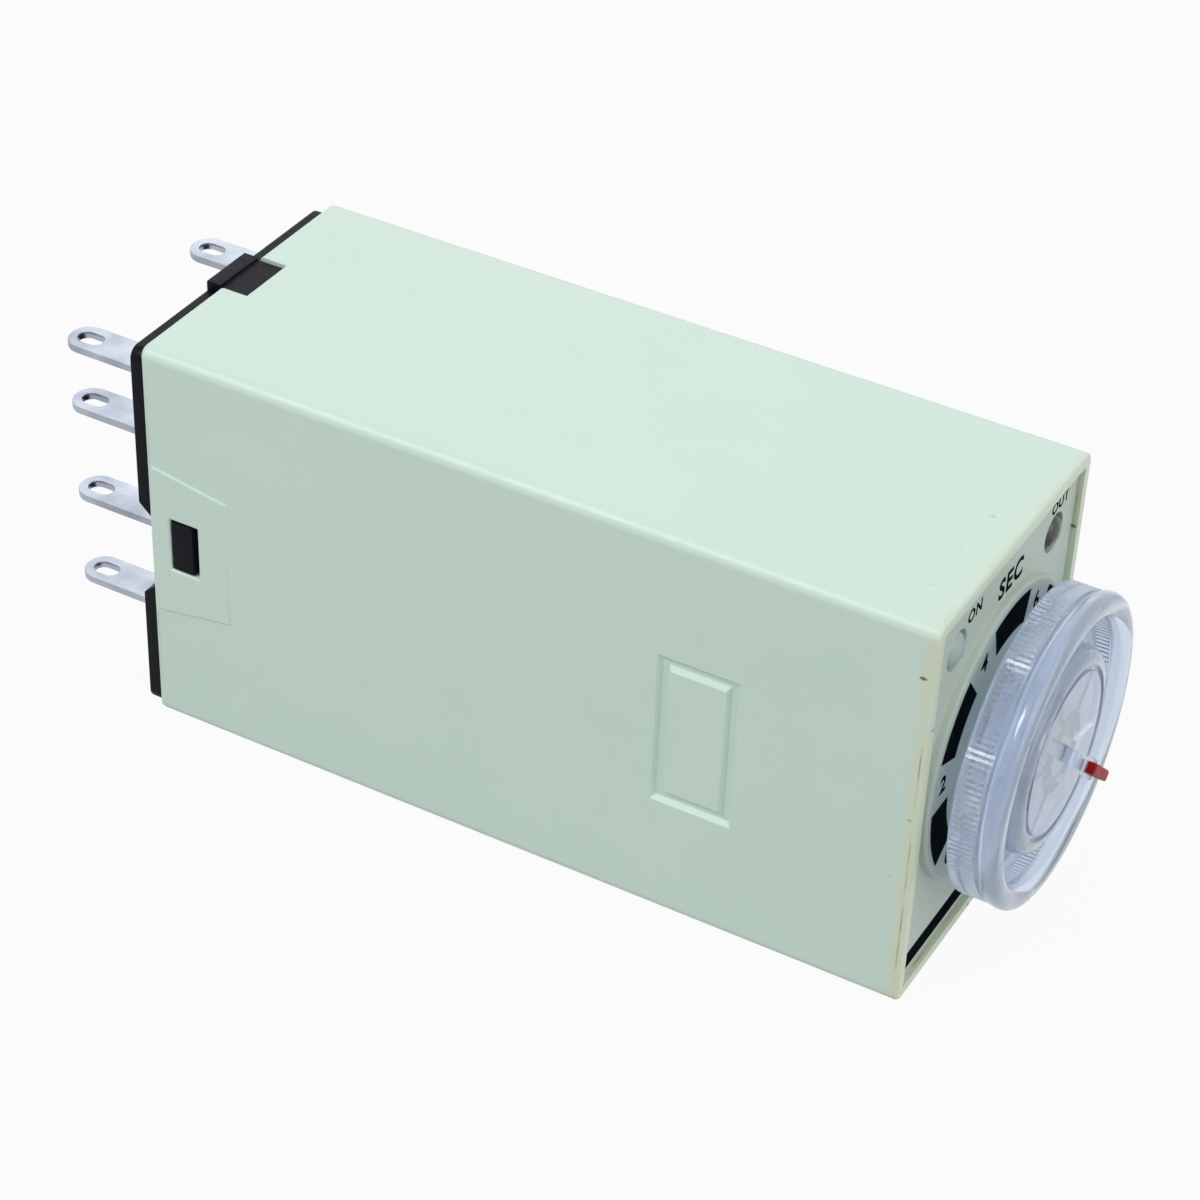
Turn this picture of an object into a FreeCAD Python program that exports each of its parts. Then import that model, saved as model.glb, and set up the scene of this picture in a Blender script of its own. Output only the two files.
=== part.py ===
import FreeCAD, Part
import os
import re
import Sketcher

# A miniature plug-in timer relay, lying on its long narrow side.
# X runs along its length: the blades point to -X and the dial faces +X. Z is up.
# Lengths along X are counted from the housing's rear edge, and heights from its bottom face.

SIZES = {
    # Housing: a moulded sleeve, open at the rear
    "housing_length": 53.8,
    "housing_width": 21.5,
    "housing_height": 28.0,
    "housing_wall": 1.2,
    "edge_radius": 0.8,
    "rear_bevel": 0.35,
    "rim_width": 0.85,
    "rim_depth": 0.4,
    "rim_bevel": 0.25,
    "ledge_width": 0.8,
    "ledge_thickness": 1.0,
    "window_inset": 1.7,
    "window_length": 2.05,
    "window_height": 3.8,
    "latch_zone_length": 6.1,
    "latch_zone_height": 11.2,
    "latch_zone_taper": 0.9,
    "latch_zone_rise": 0.12,
    "grip_inset": 36.4,
    "grip_length": 5.6,
    "grip_height": 11.0,
    "grip_groove": 1.0,
    "grip_depth": 0.35,
    "key_length": 2.05,
    "key_width": 4.4,
    "guide_width": 0.7,
    "guide_height": 0.8,
    "slide_gap": 0.1,
    "seat_gap": 0.05,
    # Base: the black block that closes the housing and holds the blades
    "flange_thickness": 1.0,
    "flange_inset": 0.35,
    "flange_drop": 0.6,
    "flange_lift": 0.25,
    "flange_radius": 0.8,
    "base_plate": 2.6,
    "spigot_length": 5.0,
    "spigot_wall": 1.1,
    "collar_rise": 0.5,
    "collar_margin": 0.6,
    "collar_lift": 1.5,
    "key_rise": 0.1,
    "key_step": 0.2,
    "lug_height": 3.7,
    "lug_reach": 1.35,
    "lug_gap": 0.05,
    "lug_land": 1.6,
    "notch_height": 5.2,
    "notch_depth": 1.4,
    "notch_slant": 0.9,
    "rail_width": 2.4,
    "rail_height": 3.4,
    "rail_end": 2.0,
    "cross_bar_height": 1.5,
    # Blades
    "blade_width": 2.6,
    "blade_thickness": 0.5,
    "blade_reach": 6.9,
    "tip_flat": 0.04,
    "blade_hole_length": 1.8,
    "blade_hole_width": 1.2,
    "blade_hole_offset": 1.5,
    "column_inset": 2.95,
    "closed_lift": 7.1,
    "open_lift": 2.5,
    "common_drop": 4.3,
    "coil_row": 6.0,
    "contact_blade_end": 8.4,
    "plain_blade_end": 6.2,
    # How many sides the round parts inside the case have
    "small_sides": 12,
    "round_sides": 24,
    # Contacts
    "contact_place": 6.6,
    "contact_radius": 1.1,
    "contact_rise": 1.15,
    "moving_radius": 1.0,
    "moving_rise": 0.35,
    "contact_gap": 0.03,
    "spring_thickness": 0.25,
    "spring_overhang": 1.4,
    "spring_grip": 3.4,
    # Relay: armature, yoke, core and coil
    "armature_place": 15.5,
    "armature_thickness": 1.2,
    "armature_inset": 0.3,
    "armature_bottom": 5.1,
    "tail_width": 9.0,
    "tail_height": 4.7,
    "hinge_gap": 0.1,
    "pole_gap": 0.8,
    "pole_rim": 1.2,
    "pole_thickness": 0.6,
    "winding_depth": 2.3,
    "stub_step": 0.8,
    "stub_peen": 0.3,
    "coil_lift": 0.55,
    "coil_length": 13.9,
    "coil_gap": 0.5,
    "flange_lip": 0.5,
    "bobbin_tube": 0.9,
    "bobbin_flange": 0.9,
    "terminal_flange": 1.6,
    "ear_gap": 1.35,
    "ear_height": 3.4,
    "yoke_thickness": 1.5,
    "yoke_inset": 1.7,
    "foot_inset": 0.6,
    "yoke_bend": 1.0,
    "hinge_spring_width": 6.0,
    "hinge_spring_thickness": 0.2,
    "hinge_spring_length": 9.0,
    "hinge_spring_tab": 2.2,
    "carrier_back": 3.9,
    "carrier_front": 1.1,
    "carrier_gap": 0.35,
    "carrier_height": 4.4,
    "carrier_lift": 0.7,
    "carrier_chamfer": 0.8,
    # Wiring
    "lead_half": 0.3,
    "lead_rise_place": 10.0,
    "wire_half": 0.4,
    "wire_wall_gap": 0.3,
    "wire_tail": 2.0,
    "wire_drop": 4.0,
    "wire_inset": 1.9,
    "wire_run": 3.0,
    "pin_size": 0.6,
    "pin_pitch": 2.54,
    "pin_setback": 1.6,
    "pin_drop": 0.9,
    # Boards
    "board_thickness": 1.0,
    "board_drop": 0.6,
    "board_start": 18.5,
    "front_board_thickness": 1.2,
    "front_board_margin": 0.5,
    # Parts on the boards
    "capacitor_radius": 3.0,
    "capacitor_gap": 0.85,
    "capacitor_length": 11.0,
    "capacitor_place": 22.6,
    "capacitor_side_gap": 0.1,
    "film_length": 6.8,
    "film_width": 2.5,
    "film_height": 5.2,
    "film_place": 36.4,
    "film_offset": 0.6,
    "chip_length": 8.7,
    "chip_width": 3.9,
    "chip_height": 1.5,
    "chip_place": 22.6,
    "chip_offset": 3.6,
    "chip_lead_pitch": 1.27,
    "chip_lead_width": 0.42,
    "chip_lead_reach": 1.05,
    "transistor_radius": 2.3,
    "transistor_height": 4.4,
    "transistor_place": 34.0,
    "transistor_offset": 2.0,
    "lead_height": 0.8,
    "diode_radius": 1.0,
    "diode_length": 4.2,
    "diode_place": 36.4,
    "diode_pitch": 2.2,
    "diode_offset": 4.6,
    "resistor_radius": 0.8,
    "resistor_length": 5.0,
    "resistor_place": 39.6,
    "resistor_gap": 1.05,
    "resistor_pitch": 2.0,
    "leg_half": 0.25,
    "leg_reach": 0.9,
    # Front: plate, lamps, potentiometer, dial
    "plate_thickness": 0.9,
    "plate_gap": 0.05,
    "table_inset": 0.3,
    "table_rise": 0.6,
    "table_edge": 0.25,
    "dial_offset": 0.05,
    "lamp_drop": 3.9,
    "lamp_inset": 3.9,
    "lamp_radius": 1.25,
    "lamp_dome": 1.0,
    "lamp_crown": 0.3,
    "lamp_standoff": 2.0,
    "lamp_rise": 0.35,
    "lamp_gap": 0.05,
    "lamp_leg_pitch": 1.27,
    "pot_radius": 7.0,
    "pot_length": 3.4,
    "pot_wall": 0.6,
    "pot_front": 1.0,
    "pot_setback": 1.9,
    "bush_radius": 3.0,
    "bush_rise": 0.3,
    "wafer_thickness": 0.8,
    "rotor_radius": 5.6,
    "rotor_thickness": 0.8,
    "rotor_gap": 0.3,
    "running_gap": 0.03,
    "wiper_width": 1.4,
    "shaft_radius": 1.5,
    "shaft_flat": 1.0,
    "shaft_engagement": 2.7,
    "dial_margin": 0.75,
    "dial_depth": 3.3,
    "dial_gap": 1.5,
    "dial_rim": 1.5,
    "dial_floor": 0.8,
    "dial_floor_set": 0.5,
    "dial_front_bevel": 0.4,
    "dial_bead": 1.15,
    "dial_bead_step": 0.12,
    "knurl_count": 36,
    "knurl_depth": 0.16,
    "knurl_width": 0.6,
    "hub_radius": 6.6,
    "hub_wall": 1.0,
    "hub_front": 1.1,
    "hub_drop": 0.2,
    "hub_edge": 0.5,
    "hub_groove_radius": 5.2,
    "hub_groove_width": 0.4,
    "hub_groove_depth": 0.25,
    "slot_length": 8.0,
    "slot_width": 1.0,
    "slot_depth": 0.6,
    "boss_radius": 2.7,
    "boss_gap": 0.4,
    "pointer_angle": -42.0,
    "pointer_width": 0.75,
    "pointer_seat": 0.25,
    "pointer_rise": 0.35,
    "pointer_start": 6.3,
    "web_width": 1.3,
}

# Places worked out from the sizes, as formulas
INNER_SIDE = "(housing_width / 2 - housing_wall)"
INNER_TOP = "(housing_height - housing_wall)"
MIDDLE = "(housing_height / 2)"
COLUMN = f"({INNER_SIDE} - column_inset)"
BOARD_TOP = f"({INNER_TOP} - board_drop)"
BOARD_UNDER = f"({BOARD_TOP} - board_thickness)"
# The relay has the height that is left under the capacitor on the timer board
CAPACITOR_BOTTOM = f"({BOARD_UNDER} - seat_gap - 2 * capacitor_radius)"
HINGE_HEIGHT = f"({CAPACITOR_BOTTOM} - capacitor_gap - yoke_thickness)"
CLOSED_ROW = f"({HINGE_HEIGHT} + closed_lift)"
OPEN_ROW = f"({HINGE_HEIGHT} + open_lift)"
COMMON_ROW = f"({HINGE_HEIGHT} - common_drop)"
COLLAR_FACE = "(-flange_thickness - collar_rise)"
BLADE_TIP = f"({COLLAR_FACE} - blade_reach)"
SPIGOT_SIDE = f"({INNER_SIDE} - slide_gap)"
SPIGOT_FLOOR = "(housing_wall + slide_gap)"
SPIGOT_TOP = f"({INNER_TOP} - slide_gap)"

PLATE_FACE = "(housing_length - rim_depth)"
PLATE_BACK = f"({PLATE_FACE} - plate_thickness)"
LEDGE_BACK = f"({PLATE_BACK} - ledge_thickness)"
TABLE_FACE = f"({PLATE_FACE} + table_rise)"
BOARD_FACE = f"({PLATE_BACK} - pot_setback - pot_length)"
BOARD_BACK = f"({BOARD_FACE} - front_board_thickness)"
POT_FRONT = f"({BOARD_FACE} + pot_length)"
BUSH_END = f"({TABLE_FACE} + bush_rise)"
ROTOR_FRONT = f"({POT_FRONT} - pot_front - rotor_gap)"
ROTOR_BACK = f"({ROTOR_FRONT} - rotor_thickness)"
WAFER_FACE = f"({BOARD_FACE} + wafer_thickness)"

LAMP_COLUMN = "(housing_width / 2 - lamp_inset)"
LAMP_HEIGHT = "(housing_height - lamp_drop)"
DIAL_HEIGHT = f"({MIDDLE} + dial_offset)"
DIAL_RADIUS = "(housing_width / 2 - dial_margin)"
TABLE_RADIUS = f"({DIAL_RADIUS} - table_inset)"
DIAL_BACK = "(housing_length + dial_gap)"
DIAL_FRONT = f"({DIAL_BACK} + dial_depth)"
DIAL_INSIDE = f"({DIAL_RADIUS} - dial_rim)"
FLOOR_BACK = f"({DIAL_BACK} + dial_floor_set)"
FLOOR_FRONT = f"({FLOOR_BACK} + dial_floor)"
HUB_FACE = f"({DIAL_FRONT} - hub_drop)"
HUB_INSIDE = f"({HUB_FACE} - hub_front)"
BEAD_BACK = f"({DIAL_FRONT} - dial_bead)"
BOSS_BACK = f"({BUSH_END} + boss_gap)"
SHAFT_END = f"({BOSS_BACK} + shaft_engagement - seat_gap)"
BORE_END = f"({BOSS_BACK} + shaft_engagement)"
POINTER_BACK = f"({DIAL_FRONT} - pointer_seat)"
POINTER_FRONT = f"({DIAL_FRONT} + pointer_rise)"

HINGE_PLACE = "(armature_place + armature_thickness)"
YOKE_START = f"({HINGE_PLACE} + hinge_gap)"
YOKE_TOP = f"({HINGE_HEIGHT} + yoke_thickness)"
COIL_HEIGHT = f"(({SPIGOT_FLOOR} + {HINGE_HEIGHT}) / 2 + coil_lift)"
COIL_RADIUS = f"({HINGE_HEIGHT} - {COIL_HEIGHT} - flange_lip - coil_gap)"
CORE_RADIUS = f"({COIL_RADIUS} - winding_depth - bobbin_tube)"
POLE_RADIUS = f"({CORE_RADIUS} + pole_rim)"
STUB_RADIUS = f"({CORE_RADIUS} - stub_step)"
POLE_FACE = f"({HINGE_PLACE} + pole_gap)"
BOBBIN_BACK = f"({POLE_FACE} + pole_thickness)"
BOBBIN_FRONT = f"({BOBBIN_BACK} + coil_length)"
YOKE_BACK = f"({BOBBIN_FRONT} + yoke_thickness)"
RAIL_SIDE = f"({SPIGOT_SIDE} - spigot_wall / 2)"
RAIL_TOP = f"({SPIGOT_FLOOR} + rail_height)"
FOOT_SIDE = f"({RAIL_SIDE} - foot_inset)"
TERMINAL_EAR = f"({INNER_SIDE} - ear_gap)"
YOKE_SIDE = f"({TERMINAL_EAR} - yoke_inset)"
ARMATURE_SIDE = f"({YOKE_SIDE} - armature_inset)"
RAIL_FRONT = f"({YOKE_BACK} + rail_end)"
YOKE_FOOT = f"({SPIGOT_FLOOR} + cross_bar_height / 2)"
SPRING_TOP = f"({CLOSED_ROW} - blade_thickness / 2 - contact_rise - contact_gap - moving_rise)"
SPRING_BOTTOM = f"({SPRING_TOP} - spring_thickness)"
CARRIER_SIDE = f"({INNER_SIDE} - wire_wall_gap - 2 * wire_half - carrier_gap)"
CARRIER_BOTTOM = f"({YOKE_TOP} + carrier_lift)"
CARRIER_TOP = f"({CARRIER_BOTTOM} + carrier_height)"
CARRIER_BACK = "(armature_place - carrier_back)"
CARRIER_FRONT = f"({HINGE_PLACE} + hinge_spring_thickness + carrier_front)"

BOARD_FRONT = f"({BOARD_BACK} - slide_gap)"
PIN_COLUMN = f"({TERMINAL_EAR} - pin_size)"
CAPACITOR_OFFSET = f"({PIN_COLUMN} - pin_size / 2 - capacitor_side_gap - capacitor_radius)"
RESISTOR_OFFSET = f"({INNER_SIDE} - guide_width - resistor_gap - resistor_radius - resistor_pitch)"

# The frame's origin is under the middle of the whole length
ORIGIN_X = f"(-({BLADE_TIP} + {POINTER_FRONT}) / 2)"

doc = FreeCAD.newDocument("timer_relay")
sheet = doc.addObject("Spreadsheet::Sheet", "Sizes")
nodes = []

# How near counts as touching (mm), and as parallel (cosine of the angle)
TOUCH = 0.001
PARALLEL = 0.999


def fill_sheet():
    for row, (name, size) in enumerate(SIZES.items(), start=1):
        sheet.set(f"A{row}", name)
        sheet.set(f"B{row}", str(size))
        sheet.setAlias(f"B{row}", name)
    doc.recompute()


def formula(text):
    """Point each size name in a formula at its cell of the sheet."""
    return re.sub(r"[a-z]\w+", lambda word: f"Sizes.{word[0]}" if word[0] in SIZES else word[0], text)


def value(text):
    return float(sheet.evalExpression(formula(text)))


def meets(place, text):
    """Whether a place or size is what a formula says."""
    return abs(place - value(text)) < TOUCH


def bind(item, name, text):
    item.setExpression(name, formula(text))


def node(label, item):
    """Name an object as one of the relay's pieces."""
    item.Label = label
    nodes.append(item)
    return item


# Sketches and features of a body


def new_body(label, height="0", turn=None):
    """A piece modelled from sketches, moved to its height and turned about its axis along X."""
    body = doc.addObject("PartDesign::Body", label)
    if turn:
        body.Placement.Rotation = FreeCAD.Rotation(FreeCAD.Vector(1, 0, 0), value(turn))
        bind(body, "Placement.Rotation.Angle", turn)
    bind(body, "Placement.Base.x", ORIGIN_X)
    bind(body, "Placement.Base.z", height)
    return node(label, body)


def origin_part(body, role):
    return next(item for item in body.Origin.OriginFeatures if item.Role == role)


def sketch_on(body, role, offset="0"):
    """A sketch on one of the body's own planes, shifted along the plane's normal."""
    sketch = body.newObject("Sketcher::SketchObject", "Sketch")
    sketch.AttachmentSupport = (origin_part(body, role), [""])
    sketch.MapMode = "FlatFace"
    bind(sketch, "AttachmentOffset.Base.z", offset)
    return sketch


def fix(sketch, kind, geometry, point, text):
    constraint = Sketcher.Constraint(kind, -1, 1, geometry, point, value(text))
    number = sketch.addConstraint(constraint)
    bind(sketch, f"Constraints[{number}]", text)


def outline(sketch, points):
    """A closed outline with straight sides through points given as pairs of formulas."""
    first = sketch.GeometryCount
    count = len(points)
    corners = [FreeCAD.Vector(value(u), value(v), 0) for u, v in points]
    for number, corner in enumerate(corners):
        sketch.addGeometry(Part.LineSegment(corner, corners[(number + 1) % count]), False)
    for number, (u, v) in enumerate(points):
        following = first + (number + 1) % count
        sketch.addConstraint(Sketcher.Constraint("Coincident", first + number, 2, following, 1))
        fix(sketch, "DistanceX", first + number, 1, u)
        fix(sketch, "DistanceY", first + number, 1, v)


def rectangle(sketch, u, v):
    outline(sketch, [(u[0], v[0]), (u[1], v[0]), (u[1], v[1]), (u[0], v[1])])


def circle(sketch, u, v, radius):
    centre = FreeCAD.Vector(value(u), value(v), 0)
    ring = Part.Circle(centre, FreeCAD.Vector(0, 0, 1), value(radius))
    number = sketch.addGeometry(ring, False)
    fix(sketch, "DistanceX", number, 3, u)
    fix(sketch, "DistanceY", number, 3, v)
    index = sketch.addConstraint(Sketcher.Constraint("Radius", number, value(radius)))
    bind(sketch, f"Constraints[{index}]", radius)


def pad(body, sketch, length, backwards=False):
    item = body.newObject("PartDesign::Pad", "Pad")
    item.Profile = sketch
    item.Reversed = backwards
    bind(item, "Length", length)
    return item


def pocket(body, sketch, length, backwards=False):
    """A cut against the sketch's normal, or along it if backwards."""
    item = body.newObject("PartDesign::Pocket", "Pocket")
    item.Profile = sketch
    item.Reversed = backwards
    bind(item, "Length", length)
    return item


def turn_profile(body, kind, points):
    """A revolution or groove of a profile of places along X and radii."""
    sketch = sketch_on(body, "XZ_Plane")
    outline(sketch, points)
    item = body.newObject(f"PartDesign::{kind}", kind)
    item.Profile = sketch
    item.ReferenceAxis = (sketch, ["H_Axis"])
    item.Angle = 360
    return item


def mirror(body, features):
    """Repeat features of the right side on the left side."""
    item = body.newObject("PartDesign::Mirrored", "Mirrored")
    item.Originals = features
    item.MirrorPlane = (origin_part(body, "XZ_Plane"), [""])
    body.Tip = item
    return item


def round_edges(body, feature, radius, wanted):
    item = body.newObject("PartDesign::Fillet", "Fillet")
    item.Base = (feature, edge_names(feature, wanted))
    bind(item, "Radius", radius)
    return item


def bevel_edges(body, feature, size, wanted):
    item = body.newObject("PartDesign::Chamfer", "Chamfer")
    item.Base = (feature, edge_names(feature, wanted))
    bind(item, "Size", size)


def edge_names(feature, wanted):
    doc.recompute()
    return [f"Edge{number}" for number, edge in enumerate(feature.Shape.Edges, start=1) if wanted(edge)]


def runs_along(axis):
    """Pick straight edges parallel to an axis."""

    def wanted(edge):
        straight = isinstance(edge.Curve, Part.Line)
        return straight and abs(edge.Curve.Direction.dot(axis)) > PARALLEL

    return wanted


def lies_at(place):
    """Pick edges that lie across the X axis at a place."""

    def wanted(edge):
        return all(meets(vertex.Point.x, place) for vertex in edge.Vertexes)

    return wanted


def ring_at(place, radius):
    """Pick round edges about the X axis by their place and radius."""

    def wanted(edge):
        if not isinstance(edge.Curve, Part.Circle):
            return False
        return meets(edge.Curve.Radius, radius) and meets(edge.Curve.Center.x, place)

    return wanted


ALONG_X = FreeCAD.Vector(1, 0, 0)
ALONG_Y = FreeCAD.Vector(0, 1, 0)
ALONG_Z = FreeCAD.Vector(0, 0, 1)


# Plain solids and their combinations


def block(x, y, z):
    """A box between two places along each axis."""
    item = doc.addObject("Part::Box", "Block")
    bind(item, "Length", f"{x[1]} - ({x[0]})")
    bind(item, "Width", f"{y[1]} - ({y[0]})")
    bind(item, "Height", f"{z[1]} - ({z[0]})")
    bind(item, "Placement.Base.x", f"{ORIGIN_X} + {x[0]}")
    bind(item, "Placement.Base.y", y[0])
    bind(item, "Placement.Base.z", z[0])
    return item


def rod(axis, radius, length, x, y, z):
    """A cylinder along an axis, from a starting place."""
    item = doc.addObject("Part::Cylinder", "Rod")
    item.Placement.Rotation = FreeCAD.Rotation(ALONG_Z, axis)
    bind(item, "Radius", radius)
    bind(item, "Height", length)
    bind(item, "Placement.Base.x", f"{ORIGIN_X} + {x}")
    bind(item, "Placement.Base.y", y)
    bind(item, "Placement.Base.z", z)
    return item


def prism(axis, radius, length, x, y, z, sides="small_sides"):
    """A round part inside the case as a prism with few sides, along an axis from a starting place."""
    item = doc.addObject("Part::Prism", "Prism")
    item.Placement.Rotation = FreeCAD.Rotation(ALONG_Z, axis)
    bind(item, "Polygon", sides)
    bind(item, "Circumradius", radius)
    bind(item, "Height", length)
    bind(item, "Placement.Base.x", f"{ORIGIN_X} + {x}")
    bind(item, "Placement.Base.y", y)
    bind(item, "Placement.Base.z", z)
    return item


def fuse(*items):
    item = doc.addObject("Part::MultiFuse", "Fuse")
    item.Shapes = list(items)
    item.Refine = True
    return item


def group(*items):
    item = doc.addObject("Part::Compound", "Group")
    item.Links = list(items)
    return item


def cut(item, *tools):
    for tool in tools:
        result = doc.addObject("Part::Cut", "Cut")
        result.Base = item
        result.Tool = tool
        item = result
    return item


def square_wire(corners, half):
    """A wire of square section along runs that follow the axes."""
    runs = []
    for start, end in zip(corners, corners[1:]):
        spans = []
        for first, last in zip(start, end):
            low, high = sorted((first, last), key=value)
            spans.append((f"{low} - {half}", f"{high} + {half}"))
        runs.append(block(*spans))
    return fuse(*runs)


# Pieces


def make_housing():
    body = new_body("housing")
    side = "housing_width / 2"
    sketch = sketch_on(body, "YZ_Plane")
    rectangle(sketch, (f"-{side}", side), ("0", "housing_height"))
    shell = pad(body, sketch, "housing_length")
    rounded = round_edges(body, shell, "edge_radius", runs_along(ALONG_X))
    bevel_edges(body, rounded, "rear_bevel", lies_at("0"))

    # A faint raised zone round each latch window, taller at the rear
    sketch = sketch_on(body, "XZ_Plane", f"{side} + latch_zone_rise")
    rear = "(latch_zone_height / 2)"
    front = "(latch_zone_height / 2 - latch_zone_taper)"
    outline(
        sketch,
        [
            ("rear_bevel", f"{MIDDLE} - {rear}"),
            ("latch_zone_length", f"{MIDDLE} - {front}"),
            ("latch_zone_length", f"{MIDDLE} + {front}"),
            ("rear_bevel", f"{MIDDLE} + {rear}"),
        ],
    )
    pad(body, sketch, "housing_width + 2 * latch_zone_rise", backwards=True)

    sketch = sketch_on(body, "YZ_Plane")
    rectangle(sketch, (f"-{INNER_SIDE}", INNER_SIDE), ("housing_wall", INNER_TOP))
    pocket(body, sketch, LEDGE_BACK, backwards=True)

    opening = f"({side} - rim_width - ledge_width)"
    sill = "(rim_width + ledge_width)"
    sketch = sketch_on(body, "YZ_Plane")
    rectangle(sketch, (f"-{opening}", opening), (sill, f"housing_height - {sill}"))
    pocket(body, sketch, "housing_length", backwards=True)

    recess = f"({side} - rim_width)"
    sketch = sketch_on(body, "YZ_Plane", "housing_length")
    rectangle(sketch, (f"-{recess}", recess), ("rim_width", "housing_height - rim_width"))
    pocket(body, sketch, "rim_depth + plate_thickness")

    sketch = sketch_on(body, "XZ_Plane", f"{side} + 2 * latch_zone_rise")
    window = (f"{MIDDLE} - window_height / 2", f"{MIDDLE} + window_height / 2")
    rectangle(sketch, ("window_inset", "window_inset + window_length"), window)
    pocket(body, sketch, "housing_width + 4 * latch_zone_rise")

    sketch = sketch_on(body, "XY_Plane", "housing_height")
    rectangle(sketch, ("0", "key_length"), ("-key_width / 2", "key_width / 2"))
    pocket(body, sketch, "housing_wall + slide_gap")

    sketch = sketch_on(body, "XZ_Plane", side)
    ring = (f"{MIDDLE} - grip_height / 2", f"{MIDDLE} + grip_height / 2")
    rectangle(sketch, ("grip_inset", "grip_inset + grip_length"), ring)
    pad_span = ("grip_inset + grip_groove", "grip_inset + grip_length - grip_groove")
    rectangle(sketch, pad_span, (f"{ring[0]} + grip_groove", f"{ring[1]} - grip_groove"))
    grip = pocket(body, sketch, "grip_depth")
    mirror(body, [grip])

    # Two ribs carry the timer board, and two stop the front board
    sketch = sketch_on(body, "XZ_Plane", f"{INNER_SIDE} + housing_wall / 4")
    guide_top = f"({BOARD_UNDER} - seat_gap)"
    rectangle(sketch, ("board_start - guide_height", BOARD_BACK), (f"{guide_top} - guide_height", guide_top))
    stop = f"({BOARD_FACE} + seat_gap)"
    rectangle(sketch, (stop, f"{stop} + guide_height"), ("housing_wall", f"{guide_top} - guide_height"))
    ribs = pad(body, sketch, "guide_width + housing_wall / 4", backwards=True)
    both = mirror(body, [ribs])

    bevel_edges(body, both, "rim_bevel", lies_at("housing_length"))


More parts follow.
